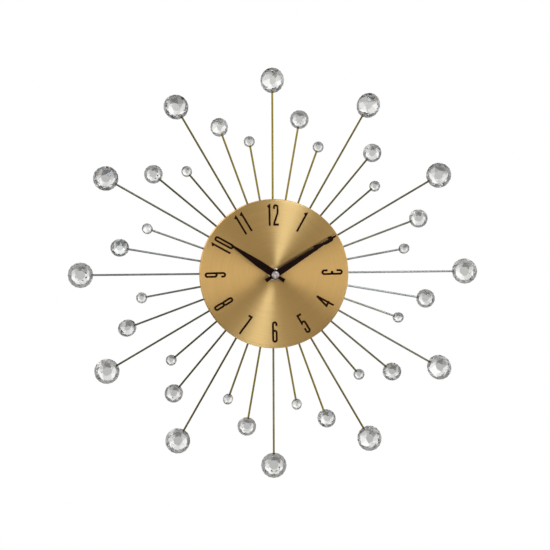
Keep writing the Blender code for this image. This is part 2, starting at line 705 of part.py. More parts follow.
def circuit_board_mesh():
    """The board with its chip under a round blob of resin and a crystal can."""
    board = box_mesh("board", BOARD_X, BOARD_DEPTHS, BOARD_Z)
    outline = circle(CHIP_RADIUS, 14, CHIP_CENTRE)
    crown = circle(CHIP_RADIUS - 1.0 * MM, 14, CHIP_CENTRE)
    blob = [(*mm(12.0, 12.4), crown, None), (*mm(12.4, 13.5), outline, None)]
    can = rod_tool((0.0, 0.0), CRYSTAL_CAN_RADIUS, (0.0, CRYSTAL_CAN_LENGTH), 10)
    can.transform(Matrix.Rotation(pi / 2.0, 4, "X"))
    can.transform(Matrix.Translation(CRYSTAL_CAN_PLACE))
    tools = joined([stack_mesh("blob", blob), can])
    return combined(board, tools, "UNION")


def coil_mesh():
    """Bobbin flanges and winding on a flat core whose ends lie on the stator's arms."""
    core = rectangle(*mm(-0.4, 0.4, -1.5, 1.5))
    flange = circle(3.4 * MM, 20)
    winding = circle(2.9 * MM, 20)
    first, last = CORE_END, COIL_LENGTH - CORE_END
    sections = [
        (0.0, first, core, None),
        (first, first + FLANGE_THICKNESS, flange, None),
        (first + FLANGE_THICKNESS, last - FLANGE_THICKNESS, winding, None),
        (last - FLANGE_THICKNESS, last, flange, None),
        (last, COIL_LENGTH, core, None),
    ]
    return smooth(stack_mesh("coil", sections))


def stator_mesh():
    """A U of soft iron round the rotor, its two arms reaching up to the coil's core."""
    left, right = COIL_LEFT, COIL_LEFT + COIL_LENGTH
    arm = CORE_END
    bottom, fork, top = mm(5.4, 15.6, 23.4)
    outline = [
        (left + arm, bottom),
        (right - arm, bottom),
        (right, bottom + arm),
        (right, top),
        (right - arm, top),
        (right - arm, fork),
        (left + arm, fork),
        (left + arm, top),
        (left, top),
        (left, fork - arm),
        (left + arm, fork - 2.0 * arm),
    ]
    hole = circle(ROTOR_WINDOW, 24, ROTOR_CENTRE)
    return stack_mesh("stator", [(*STATOR_DEPTHS, outline, hole)])


def build_movement_shell(materials):
    place("movement_case", movement_case_mesh(), materials["black_plastic"])
    place("rear_cover", rear_cover_mesh(), materials["black_plastic"])
    battery = sideways(battery_mesh(), 0.0, 0.0, 0.0)
    place("battery", battery, materials["battery_wrap"], (BATTERY_LEFT, -BATTERY_DEPTH, BATTERY_HEIGHT))
    place("contact_negative", contact_negative_mesh(), materials["spring_steel"])
    place("contact_positive", contact_positive_mesh(), materials["spring_steel"])
    place("circuit_board", circuit_board_mesh(), materials["board_green"])
    coil = sideways(coil_mesh(), COIL_LEFT, COIL_DEPTH, COIL_HEIGHT)
    place("coil", coil, materials["coil_copper"])
    place("stator", stator_mesh(), materials["spring_steel"])


# ---------------------------------------------------------------- gear train


def build_going_train(materials):
    """From the back: rotor, step wheel, seconds wheel, third wheel and centre wheel."""
    plastic = materials["gear_plastic"]
    step_phase = 0.0
    rotor_direction = radians(ROTOR_DIRECTION)
    rotor_phase = meshed_phase(STEP_WHEEL[0], step_phase, rotor_direction, ROTOR_PINION[0])
    to_step = radians(STEP_DIRECTION)
    step_pinion_phase = meshed_phase(SECONDS_WHEEL[0], 0.0, to_step, STEP_PINION[0])
    to_third = radians(THIRD_DIRECTION)
    from_third = to_third + pi
    seconds_pinion_phase = meshed_phase(THIRD_WHEEL[0], 0.0, from_third, SECONDS_PINION[0])
    third_pinion_phase = meshed_phase(CENTRE_WHEEL[0], 0.0, to_third, THIRD_PINION[0])

    pivot = circle(PIVOT, 8)
    arbor = circle(WHEEL_ARBOR_RADIUS, 8)
    rotor = [
        (REAR_PIVOT_END, ROTOR_PINION_LEVEL[0], pivot, None),
        (*ROTOR_PINION_LEVEL, gear_outline(ROTOR_PINION, PINION_TOOTH, rotor_phase), None),
        (ROTOR_PINION_LEVEL[1], MAGNET_LEVEL[0], arbor, None),
        (*MAGNET_LEVEL, circle(MAGNET_RADIUS, 24), None),
        (MAGNET_LEVEL[1], FRONT_PIVOT_END, pivot, None),
    ]
    place("rotor", smooth(stack_mesh("rotor", rotor)), materials["magnet"], at(ROTOR_CENTRE))

    bore = circle(STEP_POST_RADIUS + POST_CLEARANCE, 12)
    step = [
        (*STEP_PINION_LEVEL, gear_outline(STEP_PINION, PINION_TOOTH, step_pinion_phase), bore),
        (*STEP_WHEEL_LEVEL, gear_outline(STEP_WHEEL, WHEEL_TOOTH, step_phase), bore),
    ]
    place("step_wheel", smooth(stack_mesh("step", step)), plastic, at(STEP_CENTRE))

    seconds_pinion = gear_outline(SECONDS_PINION, PINION_TOOTH, seconds_pinion_phase)
    seconds = [
        (REAR_PIVOT_END, SECONDS_WHEEL_LEVEL[0], pivot, None),
        (*SECONDS_WHEEL_LEVEL, gear_outline(SECONDS_WHEEL, WHEEL_TOOTH, 0.0), None),
        (SECONDS_WHEEL_LEVEL[1], SECONDS_PINION_LEVEL[0], arbor, None),
        (*SECONDS_PINION_LEVEL, seconds_pinion, None),
        (SECONDS_PINION_LEVEL[1], SECONDS_FRONT_PIVOT, pivot, None),
    ]
    place("seconds_wheel", smooth(stack_mesh("seconds", seconds)), plastic)

    third = [
        (REAR_PIVOT_END, THIRD_SHOULDER, pivot, None),
        (THIRD_SHOULDER, THIRD_WHEEL_LEVEL[0], arbor, None),
        (*THIRD_WHEEL_LEVEL, gear_outline(THIRD_WHEEL, WHEEL_TOOTH, 0.0), None),
        (THIRD_WHEEL_LEVEL[1], THIRD_PINION_LEVEL[0], arbor, None),
        (*THIRD_PINION_LEVEL, gear_outline(THIRD_PINION, PINION_TOOTH, third_pinion_phase), None),
        (THIRD_PINION_LEVEL[1], FRONT_PIVOT_END, pivot, None),
    ]
    place("third_wheel", smooth(stack_mesh("third", third)), plastic, at(THIRD_CENTRE))

    clutch_bore = circle(CLUTCH_BORE, 16)
    hub = circle(CLUTCH_HUB_RADIUS, 20)
    centre = [
        (CENTRE_HUB_LEVEL[0], CENTRE_WHEEL_LEVEL[0], hub, clutch_bore),
        (*CENTRE_WHEEL_LEVEL, gear_outline(CENTRE_WHEEL, WHEEL_TOOTH, 0.0), clutch_bore),
        (CENTRE_WHEEL_LEVEL[1], CENTRE_HUB_LEVEL[1], hub, clutch_bore),
    ]
    place("centre_wheel", smooth(stack_mesh("centre", centre)), plastic)


def build_motion_work(materials):
    """Minute arbor with its cannon pinion, motion wheel, hour wheel and setting knob."""
    plastic = materials["gear_plastic"]
    to_motion = radians(MOTION_DIRECTION)
    motion_phase = meshed_phase(CANNON_PINION[0], 0.0, to_motion, MOTION_WHEEL[0])
    motion_pinion_phase = meshed_phase(HOUR_WHEEL[0], 0.0, to_motion, MOTION_PINION[0])
    to_knob = radians(KNOB_DIRECTION)
    knob_phase = meshed_phase(MOTION_WHEEL[0], motion_phase, to_knob, KNOB_PINION[0])

    rear = circle(CLUTCH_RADIUS, 16)
    rear_bore = circle(PIVOT + 0.35 * MM, 12)  # runs round the seconds wheel's front pivot
    blind = CENTRE_HUB_LEVEL[1]
    arbor = [
        (ARBOR_REAR, blind, rear, rear_bore),
        (blind, CANNON_LEVEL[0], rear, None),
        (*CANNON_LEVEL, gear_outline(CANNON_PINION, PINION_TOOTH, 0.0), None),
        (CANNON_LEVEL[1], ARBOR_SHOULDER, circle(ARBOR_RADIUS, 16), None),
        (ARBOR_SHOULDER, ARBOR_END, circle(ARBOR_TIP_RADIUS, 12), None),
    ]
    place("minute_arbor", smooth(stack_mesh("arbor", arbor)), materials["brass"])

    bore = circle(MOTION_POST_RADIUS + POST_CLEARANCE, 12)
    motion_pinion = gear_outline(MOTION_PINION, PINION_TOOTH, motion_pinion_phase)
    motion = [
        (*MOTION_WHEEL_LEVEL, gear_outline(MOTION_WHEEL, WHEEL_TOOTH, motion_phase), bore),
        (*MOTION_PINION_LEVEL, motion_pinion, bore),
    ]
    place("motion_wheel", smooth(stack_mesh("motion", motion)), plastic, at(MOTION_CENTRE))

    tube_bore = circle(HOUR_TUBE_BORE, 20)
    hour = [
        (*HOUR_WHEEL_LEVEL, gear_outline(HOUR_WHEEL, WHEEL_TOOTH, 0.0), tube_bore),
        (HOUR_WHEEL_LEVEL[1], HOUR_TUBE_END, circle(HOUR_TUBE_RADIUS, 24), tube_bore),
    ]
    place("hour_wheel", smooth(stack_mesh("hour", hour)), plastic)

    knob = [
        (*KNOB_DISC_LEVEL, knurled_circle(KNOB_RADIUS, 14, 0.4 * MM), None),
        (KNOB_DISC_LEVEL[1], CANNON_LEVEL[0], circle(KNOB_SHAFT_RADIUS, 16), None),
        (*CANNON_LEVEL, gear_outline(KNOB_PINION, PINION_TOOTH, knob_phase), None),
        (CANNON_LEVEL[1], FRONT_PIVOT_END, circle(PIVOT, 8), None),
    ]
    place("setting_knob", smooth(stack_mesh("knob", knob)), plastic, at(KNOB_CENTRE))


def main():
    global CLOCK_AXIS
    for old in list(bpy.data.objects):
        bpy.data.objects.remove(old)
    CLOCK_AXIS = bpy.data.objects.new("clock_axis", None)
    CLOCK_AXIS.location = (0.0, 0.0, -HANG_DROP)
    bpy.context.collection.objects.link(CLOCK_AXIS)
    materials = make_materials()
    build_sunburst(materials)
    build_dial_and_hands(materials)
    build_movement_shell(materials)
    build_going_train(materials)
    build_motion_work(materials)
    bpy.context.view_layer.update()


main()
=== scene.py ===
"""Looks of the sunburst wall clock: finished meshes, procedural materials, studio and camera.

Frame: metres, +Z up, the front faces -Y and the wall is y = 0. "Depth" is a distance from the
wall towards the viewer, so y = -depth. Plane shapes are (x, z) points about the hand shaft.
"""
import json
from math import acos, asin, cos, degrees, pi, radians, sin, sqrt

import bmesh
import bpy
from mathutils import Matrix, Quaternion, Vector
from mathutils.geometry import tessellate_polygon


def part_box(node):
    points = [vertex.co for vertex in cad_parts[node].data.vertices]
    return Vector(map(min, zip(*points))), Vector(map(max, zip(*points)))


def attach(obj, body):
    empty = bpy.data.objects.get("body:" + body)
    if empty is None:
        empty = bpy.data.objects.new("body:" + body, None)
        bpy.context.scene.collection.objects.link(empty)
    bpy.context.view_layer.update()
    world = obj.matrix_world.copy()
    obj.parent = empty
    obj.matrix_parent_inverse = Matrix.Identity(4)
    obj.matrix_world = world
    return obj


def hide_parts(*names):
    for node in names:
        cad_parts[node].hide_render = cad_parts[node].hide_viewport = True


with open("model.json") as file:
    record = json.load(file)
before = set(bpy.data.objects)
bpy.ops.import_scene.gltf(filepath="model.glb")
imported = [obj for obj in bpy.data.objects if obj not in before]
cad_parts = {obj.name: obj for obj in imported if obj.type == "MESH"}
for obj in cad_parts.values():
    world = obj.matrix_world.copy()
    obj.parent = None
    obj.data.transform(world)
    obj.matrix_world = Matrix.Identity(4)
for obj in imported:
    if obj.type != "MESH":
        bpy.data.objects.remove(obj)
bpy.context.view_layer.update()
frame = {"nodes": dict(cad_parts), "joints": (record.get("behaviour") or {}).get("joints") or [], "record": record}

MM = 0.001
JOINTS = {joint["name"]: joint for joint in frame["joints"]}
SHAFT = Vector(JOINTS["minute_turn"]["pos_m"])
SLEEVE_BORE = 4.2 * MM  # radius of the holes that pass the movement's threaded sleeve
COLLECTION = bpy.context.scene.collection


def mm(*values):
    return tuple(value * MM for value in values)


def depths_of(node):
    """Nearest and farthest depth of a CAD node, counted from the wall."""
    low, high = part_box(node)
    return -high.y, -low.y


def radius_of(node):
    """Radius of a CAD node that is round about the shaft."""
    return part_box(node)[1].x


# ---------------------------------------------------------------- node helpers


class Nodes:
    """Short names for the nodes that materials and the surroundings are made of."""

    def __init__(self, tree):
        self.tree = tree

    def link(self, value, target):
        """Links a socket to the target, or sets the target to a plain value."""
        if isinstance(value, bpy.types.NodeSocket):
            self.tree.links.new(value, target)
        else:
            target.default_value = value

    def node(self, kind, inputs=None, **settings):
        node = self.tree.nodes.new("ShaderNode" + kind)
        for key, value in settings.items():
            setattr(node, key, value)
        for key, value in (inputs or {}).items():
            self.link(value, node.inputs[key])
        return node

    def maths(self, operation, first, second=0.0):
        return self.node("Math", {0: first, 1: second}, operation=operation).outputs[0]

    def axes(self, vector):
        return self.node("SeparateXYZ", {0: vector}).outputs

    def ramp(self, value, low, high, start=0.0, end=1.0, interpolation="LINEAR"):
        """Maps start..end onto low..high, clamped."""
        inputs = {"Value": value, "From Min": start, "From Max": end, "To Min": low, "To Max": high}
        return self.node("MapRange", inputs, interpolation_type=interpolation).outputs["Result"]

    def smooth(self, value, low, high, start, end):
        """Maps start..end onto low..high with soft ends, clamped."""
        return self.ramp(value, low, high, start, end, "SMOOTHSTEP")


class Look(Nodes):
    """A Principled material with short names for its textures."""

    def __init__(self, name, colour, roughness, metallic=0.0, **sockets):
        self.material = bpy.data.materials.new(name)
        self.material.use_nodes = True
        super().__init__(self.material.node_tree)
        self.shader = self.tree.nodes["Principled BSDF"]
        self.colour = colour
        self.set("Base Color", (*colour, 1.0))
        self.set("Roughness", roughness)
        self.set("Metallic", metallic)
        for socket, value in sockets.items():
            self.set(socket.replace("_", " "), value)

    def set(self, socket, value):
        self.link(value, self.shader.inputs[socket])

    def place(self):
        """Object coordinates, in metres: for every piece of the clock, the frame's own at rest."""
        return self.node("TexCoord").outputs["Object"]

    def vector(self, x, y, z):
        return self.node("CombineXYZ", {0: x, 1: y, 2: z}).outputs[0]

    def stretched(self, vector, scale):
        return self.node("VectorMath", {0: vector, 1: scale}, operation="MULTIPLY").outputs[0]

    def noise(self, vector, scale, detail=3.0, roughness=0.55):
        inputs = {"Vector": vector, "Scale": scale, "Detail": detail, "Roughness": roughness}
        return self.node("TexNoise", inputs).outputs["Fac"]

    def blend(self, share, *colours):
        """The first colour where share is 0, the second one where it is 1."""
        node = self.node("Mix", data_type="RGBA")
        self.link(share, node.inputs["Factor"])
        for socket, colour in zip((node.inputs[6], node.inputs[7]), colours):
            self.link((*colour, 1.0) if isinstance(colour, tuple) else colour, socket)
        return node.outputs[2]

    def bump(self, height, distance, strength=1.0):
        inputs = {"Height": height, "Distance": distance, "Strength": strength}
        self.set("Normal", self.node("Bump", inputs).outputs["Normal"])

    def shaded(self, colour, factor):
        """A colour made lighter or darker by a factor."""
        return self.node("VectorMath", {0: colour, "Scale": factor}, operation="SCALE").outputs[0]

    def tone(self, share, dark, light):
        """Base colour that drifts between two multiples of the look's own colour."""
        shades = [tuple(min(1.0, level * factor) for level in self.colour) for factor in (dark, light)]
        self.set("Base Color", self.blend(share, *shades))


def about_shaft(look):
    """Distance from the shaft, and the angle round it, as two sockets."""
    x, _, z = look.axes(look.place())
    across = look.maths("SUBTRACT", x, SHAFT.x)
    up = look.maths("SUBTRACT", z, SHAFT.z)
    squares = look.maths("ADD", look.maths("MULTIPLY", across, across), look.maths("MULTIPLY", up, up))
    return look.maths("SQRT", squares), look.maths("ARCTAN2", up, across)


def turned_grain(look, pitch, streaks):
    """Noise in long arcs, as left by a brush or a tool on a turning piece."""
    radius, angle = about_shaft(look)
    outward = look.maths("MULTIPLY", radius, 1.0 / pitch)
    round_it = look.maths("MULTIPLY", angle, streaks)
    return look.noise(look.vector(outward, round_it, 0.0), 1.0, 4.0, 0.6)


# ---------------------------------------------------------------- materials


def dial_gold():
    """Gilt with fine and broad circular brushing, which spreads the highlights into rays."""
    look = Look("dial_gold", (0.79, 0.503, 0.186), 0.37, 1.0, Anisotropic=0.95, Anisotropic_Rotation=0.25)
    tangent = look.node("Tangent", direction_type="RADIAL", axis="Y")
    look.set("Tangent", tangent.outputs[0])
    fine = turned_grain(look, 0.10 * MM, 1.3)
    broad = turned_grain(look, 0.9 * MM, 0.8)
    look.tone(look.ramp(look.maths("ADD", fine, broad), 0.0, 1.0, 0.7, 1.3), 0.93, 1.07)
    look.set("Roughness", look.ramp(fine, 0.33, 0.41, 0.3, 0.7))
    look.bump(fine, 0.004 * MM, 0.5)
    return look.material


def rod_brass():
    """Thin gilding over steel with tarnish spots. Painted reflection: yellow on the upright rods,
    grey on the level ones. Painted shade: darker on the slanting ones and at the lower left."""
    grey = (0.38, 0.37, 0.33)
    yellow = (0.32, 0.245, 0.045)
    towards_lower_left = radians(208.0)
    look = Look("rod_brass", (0.30, 0.25, 0.13), 0.3, 1.0)
    place = look.place()
    _, angle = about_shaft(look)
    upright = look.maths("ABSOLUTE", look.maths("SINE", angle))
    slanting = look.maths("ABSOLUTE", look.maths("SINE", look.maths("MULTIPLY", angle, 2.0)))
    lower_left = look.maths("COSINE", look.maths("SUBTRACT", angle, towards_lower_left))
    # painted reflection: yellow where the rod stands upright, grey where it lies level
    gilt_and_reflection = look.blend(look.ramp(upright, 0.0, 1.0, 0.15, 0.95), grey, yellow)
    tarnish = look.noise(place, 60.0, 4.0)
    spots = look.ramp(tarnish, -0.13, 0.13, 0.35, 0.65)
    # painted shade: darker towards the lower left
    lower_left_shade = look.ramp(lower_left, 1.08, 0.60, -0.2, 0.95)
    # painted shade: darker on the slanting rods
    slant_shade = look.ramp(slanting, 1.0, 0.6, 0.55, 0.95)
    # real tarnish spots together with the painted shade
    tarnish_and_shade = look.maths("MULTIPLY", look.maths("ADD", spots, lower_left_shade), slant_shade)
    look.set("Base Color", look.shaded(gilt_and_reflection, tarnish_and_shade))
    grain = look.noise(place, 700.0, 2.0)
    look.set("Roughness", look.ramp(look.maths("ADD", tarnish, grain), 0.26, 0.40, 0.7, 1.3))
    look.bump(grain, 0.004 * MM, 0.3)
    return look.material


def plate_brass():
    """Dull brass sheet with rolling marks and spots of tarnish."""
    look = Look("plate_brass", (0.36, 0.30, 0.165), 0.42, 1.0)
    place = look.place()
    rolling = look.noise(look.stretched(place, (25.0, 25.0, 2200.0)), 1.0, 3.0)
    tarnish = look.noise(place, 45.0, 5.0)
    look.tone(look.ramp(tarnish, 0.0, 1.0, 0.35, 0.65), 0.8, 1.1)
    look.set("Roughness", look.ramp(look.maths("ADD", tarnish, rolling), 0.34, 0.52, 0.7, 1.3))
    look.bump(rolling, 0.008 * MM, 0.5)
    return look.material


def weld_metal():
    """Filler metal, dark and scaly from the heat."""
    look = Look("weld_metal", (0.30, 0.25, 0.16), 0.42, 1.0)
    scale = look.noise(look.place(), 900.0, 4.0)
    look.tone(look.ramp(scale, 0.0, 1.0, 0.35, 0.65), 0.55, 1.1)
    look.bump(scale, 0.05 * MM, 0.8)
    return look.material


def crystal():
    """Clear crystal with a trace of haze."""
    look = Look("crystal", (0.97, 0.965, 0.945), 0.0, 0.0, Transmission_Weight=1.0, IOR=1.56)
    look.set("Specular Tint", (1.0, 0.93, 0.80, 1.0))
    place = look.place()
    haze = look.noise(place, 220.0, 4.0)
    look.set("Roughness", look.ramp(haze, 0.0, 0.03, 0.52, 0.72))
    look.tone(look.ramp(look.noise(place, 90.0), 0.0, 1.0, 0.3, 0.7), 0.975, 1.0)
    return look.material


def hand_black():
    """Warm black lacquer with a slight peel."""
    look = Look("hand_black", (0.010, 0.003, 0.002), 0.45, 0.0, Specular_IOR_Level=0.07)
    place = look.place()
    peel = look.noise(place, 900.0, 3.0)
    look.tone(look.ramp(look.noise(place, 150.0), 0.0, 1.0, 0.3, 0.7), 0.75, 1.5)
    look.set("Roughness", look.ramp(peel, 0.30, 0.44, 0.3, 0.7))
    look.bump(peel, 0.008 * MM, 0.5)
    return look.material


def numeral_ink():
    """Matt dark brown ink with a grain."""
    look = Look("numeral_ink", (0.018, 0.005, 0.001), 0.5, 0.0, Specular_IOR_Level=0.05)
    grain = look.noise(look.place(), 1400.0, 3.0)
    look.tone(look.ramp(grain, 0.0, 1.0, 0.3, 0.7), 0.7, 1.5)
    look.set("Roughness", look.ramp(grain, 0.36, 0.52, 0.3, 0.7))
    look.bump(grain, 0.006 * MM, 0.5)
    return look.material


def turned_metal(name, colour, roughness):
    """Small metal parts with the rings that the lathe left."""
    look = Look(name, colour, roughness, 1.0)
    rings = turned_grain(look, 0.12 * MM, 1.5)
    spots = look.noise(look.place(), 900.0, 3.0)
    look.tone(look.ramp(look.maths("ADD", rings, spots), 0.0, 1.0, 0.75, 1.25), 0.78, 1.08)
    look.set("Roughness", look.ramp(spots, roughness - 0.06, roughness + 0.10, 0.3, 0.7))
    look.bump(rings, 0.006 * MM, 0.6)
    return look.material


def moulded(name, colour, roughness, grain_height, **sockets):
    """Moulded plastic with a fine spark-eroded grain and faint flow marks."""
    look = Look(name, colour, roughness, 0.0, **sockets)
    place = look.place()
    grain = look.noise(place, 2600.0, 2.0)
    flow = look.noise(look.stretched(place, (1.0, 1.0, 0.35)), 70.0, 3.0)
    look.tone(look.ramp(flow, 0.0, 1.0, 0.3, 0.7), 0.85, 1.2)
    both = look.maths("ADD", grain, flow)
    look.set("Roughness", look.ramp(both, roughness - 0.07, roughness + 0.08, 0.7, 1.3))
    look.bump(grain, grain_height)
    return look.material


def strip_metal():
    """Plated spring strip with rolling marks."""
    look = Look("spring_steel", (0.52, 0.51, 0.49), 0.28, 1.0)
    place = look.place()
    rolling = look.noise(look.stretched(place, (60.0, 60.0, 4000.0)), 1.0, 3.0)
    look.tone(look.ramp(look.noise(place, 120.0), 0.0, 1.0, 0.3, 0.7), 0.8, 1.1)
    look.set("Roughness", look.ramp(rolling, 0.2, 0.38, 0.3, 0.7))
    look.bump(rolling, 0.004 * MM, 0.6)
    return look.material


def battery_wrap():
    """A plain printed sleeve, green for three quarters of its length and silver for the rest,
    between bare steel ends."""
    low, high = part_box("battery")
    left, right = low.x, high.x
    span = right - left
    look = Look("battery_wrap", (0.020, 0.115, 0.060), 0.25, 0.35, Coat_Weight=0.5)
    place = look.place()
    x = look.axes(place)[0]
    bare_left = look.ramp(x, 1.0, 0.0, left + 0.6 * MM, left + 0.8 * MM)
    bare_right = look.ramp(x, 0.0, 1.0, right - 2.4 * MM, right - 2.2 * MM)
    band = look.ramp(x, 0.0, 1.0, left + 0.74 * span, left + 0.745 * span)
    silver = look.maths("MAXIMUM", look.maths("MAXIMUM", bare_left, bare_right), band)
    scuffs = look.noise(look.stretched(place, (1.0, 6.0, 6.0)), 110.0, 5.0)
    worn = look.ramp(scuffs, 0.0, 1.0, 0.3, 0.7)
    green = look.blend(worn, (0.016, 0.095, 0.05), (0.03, 0.14, 0.075))
    metal = look.blend(worn, (0.42, 0.43, 0.42), (0.6, 0.6, 0.58))
    look.set("Base Color", look.blend(silver, green, metal))
    look.set("Metallic", look.ramp(silver, 0.25, 1.0))
    look.set("Roughness", look.ramp(scuffs, 0.2, 0.36, 0.3, 0.7))
    look.bump(scuffs, 0.01 * MM, 0.4)
    return look.material


def board_green():
    """Solder mask over slanting copper tracks."""
    look = Look("board_green", (0.016, 0.10, 0.035), 0.32, 0.0, Coat_Weight=0.4)
    place = look.place()
    x, _, z = look.axes(place)
    stagger = look.maths("SNAP", look.noise(look.vector(x, 0.0, 0.0), 900.0, 0.0), 0.2)
    lanes = look.maths("SINE", look.maths("MULTIPLY", look.maths("ADD", x, z), 2600.0))
    tracks = look.ramp(look.maths("ADD", lanes, stagger), 0.0, 1.0, 0.55, 0.75)
    look.set("Base Color", look.blend(tracks, (0.012, 0.075, 0.028), (0.035, 0.17, 0.06)))
    look.set("Roughness", look.ramp(look.noise(place, 500.0), 0.26, 0.4, 0.3, 0.7))
    look.bump(tracks, 0.03 * MM, 0.7)
    return look.material


def coil_copper():
    """Enamelled wire wound side by side along X."""
    wire = 0.12 * MM
    look = Look("coil_copper", (0.42, 0.15, 0.055), 0.28, 1.0, Coat_Weight=0.6)
    place = look.place()
    turns = look.maths("SINE", look.maths("MULTIPLY", look.axes(place)[0], 2.0 * pi / wire))
    # darker between the turns: painted shade in the grooves between the wires
    look.tone(look.ramp(turns, 0.0, 1.0, -1.0, 1.0), 0.55, 1.15)
    look.set("Roughness", look.ramp(look.noise(place, 700.0), 0.22, 0.36, 0.3, 0.7))
    look.bump(turns, 0.03 * MM, 0.8)
    return look.material


def ferrite():
    look = Look("magnet", (0.055, 0.052, 0.052), 0.5, 0.4)
    grit = look.noise(look.place(), 2400.0, 3.0)
    look.tone(look.ramp(grit, 0.0, 1.0, 0.3, 0.7), 0.6, 1.5)
    look.bump(grit, 0.02 * MM, 0.8)
    return look.material


LOOKS = {
    "dial_gold": dial_gold(),
    "rod_brass": rod_brass(),
    "plate_brass": plate_brass(),
    "weld_metal": weld_metal(),
    "crystal": crystal(),
    "hand_black": hand_black(),
    "numeral_ink": numeral_ink(),
    "nickel": turned_metal("nickel", (0.58, 0.50, 0.46), 0.34),
    "brass": turned_metal("brass", (0.60, 0.52, 0.40), 0.28),
    "black_plastic": moulded("black_plastic", (0.022, 0.022, 0.023), 0.40, 0.015 * MM),
    # grey for the raised marks on the black lid: a painted highlight that makes them stand out
    "mark_grey": moulded("mark_grey", (0.30, 0.30, 0.30), 0.5, 0.01 * MM),
    "gear_plastic": moulded("gear_plastic", (0.74, 0.72, 0.66), 0.38, 0.008 * MM, Subsurface_Weight=0.15),
    "battery_wrap": battery_wrap(),
    "spring_steel": strip_metal(),
    "board_green": board_green(),
    "coil_copper": coil_copper(),
    "magnet": ferrite(),
}


# ---------------------------------------------------------------- mesh helpers


def circle(radius, segments, centre=(0.0, 0.0), phase=0.0):
    turn = 2.0 * pi / segments
    angles = [phase + turn * i for i in range(segments)]
    return [(centre[0] + radius * cos(angle), centre[1] + radius * sin(angle)) for angle in angles]


def arc(centre, radius, start, end, steps=9):
    """Points round a centre, angles in degrees anticlockwise from the right."""
    angles = [radians(start + (end - start) * i / (steps - 1)) for i in range(steps)]
    return [(centre[0] + radius * cos(angle), centre[1] + radius * sin(angle)) for angle in angles]


def mesh_of(bm, name):
    bmesh.ops.recalc_face_normals(bm, faces=bm.faces)
    mesh = bpy.data.meshes.new(name)
    bm.to_mesh(mesh)
    bm.free()
    return mesh


def turned_mesh(name, profile, segments, closed=True):
    """Turns (radius, depth) points about the depth axis; a point of radius 0 closes the end."""
    bm = bmesh.new()
    rings = []
    for radius, depth in profile:
        if radius < 1e-9:
            rings.append([bm.verts.new((0.0, -depth, 0.0))])
        else:
            rings.append([bm.verts.new((x, -depth, z)) for x, z in circle(radius, segments)])
    pairs = list(zip(rings, rings[1:]))
    if closed:
        pairs.append((rings[-1], rings[0]))
    for one, other in pairs:
        for i in range(segments):
            j = (i + 1) % segments
            corners = [one[i % len(one)], one[j % len(one)], other[j % len(other)], other[i % len(other)]]
            corners = [v for k, v in enumerate(corners) if v not in corners[:k]]
            if len(corners) > 2:
                bm.faces.new(corners)
    return mesh_of(bm, name)


def whole_faces(bm):
    """Joins triangles that lie in one plane."""
    bmesh.ops.dissolve_limit(bm, angle_limit=radians(0.5), verts=bm.verts, edges=bm.edges)


def plate_mesh(name, outline, depths, holes=()):
    """A flat plate from an outline of (x, z) points, with holes, between two depths."""
    bm = bmesh.new()
    loops = [list(outline)] + [list(hole) for hole in holes]
    layers = []
    for depth in depths:
        layers.append([[bm.verts.new((x, -depth, z)) for x, z in loop] for loop in loops])
    for near, far in zip(*layers):
        for i in range(len(near)):
            j = (i + 1) % len(near)
            bm.faces.new((near[i], near[j], far[j], far[i]))
    for layer in layers:
        if holes:
            flat = [vert for loop in layer for vert in loop]
            for corners in tessellate_polygon([[vert.co for vert in loop] for loop in layer]):
                bm.faces.new([flat[i] for i in corners])
        else:
            bm.faces.new(layer[0])
    bmesh.ops.recalc_face_normals(bm, faces=bm.faces)
    if holes:
        whole_faces(bm)
    return mesh_of(bm, name)


def rod_mesh(name, radius, depth, bottom, top, sides=20):
    """An upright round rod with flat ends."""
    bm = bmesh.new()
    ends = []
    for z in (bottom, top):
        ends.append([bm.verts.new((x, y - depth, z)) for x, y in circle(radius, sides)])
        bm.faces.new(ends[-1])
    for i in range(sides):
        j = (i + 1) % sides
        bm.faces.new((ends[0][i], ends[0][j], ends[1][j], ends[1][i]))
    return mesh_of(bm, name)


def modified(kind, mesh, tool=None, **settings):
    """The mesh after one modifier, which may use a second mesh; both meshes are used up."""
    meshes = [mesh, tool] if tool else [mesh]
    objects = [bpy.data.objects.new("scratch", used) for used in meshes]
    for scratch in objects:
        COLLECTION.objects.link(scratch)
    modifier = objects[0].modifiers.new(kind, kind)
    for setting, value in settings.items():
        setattr(modifier, setting, value)
    if tool:
        modifier.object = objects[1]
    bpy.context.view_layer.update()
    evaluated = objects[0].evaluated_get(bpy.context.evaluated_depsgraph_get())
    result = bpy.data.meshes.new_from_object(evaluated)
    for scratch in objects:
        bpy.data.objects.remove(scratch)
    for used in meshes:
        bpy.data.meshes.remove(used)
    return result


def boolean(base, tool, operation):
    return modified("BOOLEAN", base, tool, operation=operation, solver="EXACT")


def bevelled(mesh, width, segments=2, limit_degrees=30.0):
    """The mesh with every edge sharper than the limit rounded."""
    limit = radians(limit_degrees)
    return modified("BEVEL", mesh, width=width, segments=segments, limit_method="ANGLE", angle_limit=limit)


def merged(meshes, name):
    bm = bmesh.new()
    for mesh in meshes:
        bm.from_mesh(mesh)
        bpy.data.meshes.remove(mesh)
    return mesh_of(bm, name)


def piece(name, mesh, look, body, replaced=(), place=SHAFT, turn=0.0, sharp_degrees=32.0):
    """Adds a finished piece, turned clockwise as seen from the front, and rides it on its body."""
    mesh.name = name
    mesh.materials.clear()
    mesh.materials.append(LOOKS[look])
    mesh.shade_smooth()
    mesh.set_sharp_from_angle(angle=radians(sharp_degrees))
    mesh.transform(Matrix.Translation(place) @ Matrix.Rotation(turn, 4, "Y"))
    made = bpy.data.objects.new(name, mesh)
    COLLECTION.objects.link(made)
    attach(made, body)
    if replaced:
        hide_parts(*replaced)


def cad_copy(node, width):
    """A CAD node's shape with its flat faces whole again and its edges rounded."""
    bm = bmesh.new()
    bm.from_mesh(frame["nodes"][node].data)
    bmesh.ops.remove_doubles(bm, verts=bm.verts, dist=1e-6)
    whole_faces(bm)
    return bevelled(mesh_of(bm, node), width)


# ---------------------------------------------------------------- sunburst

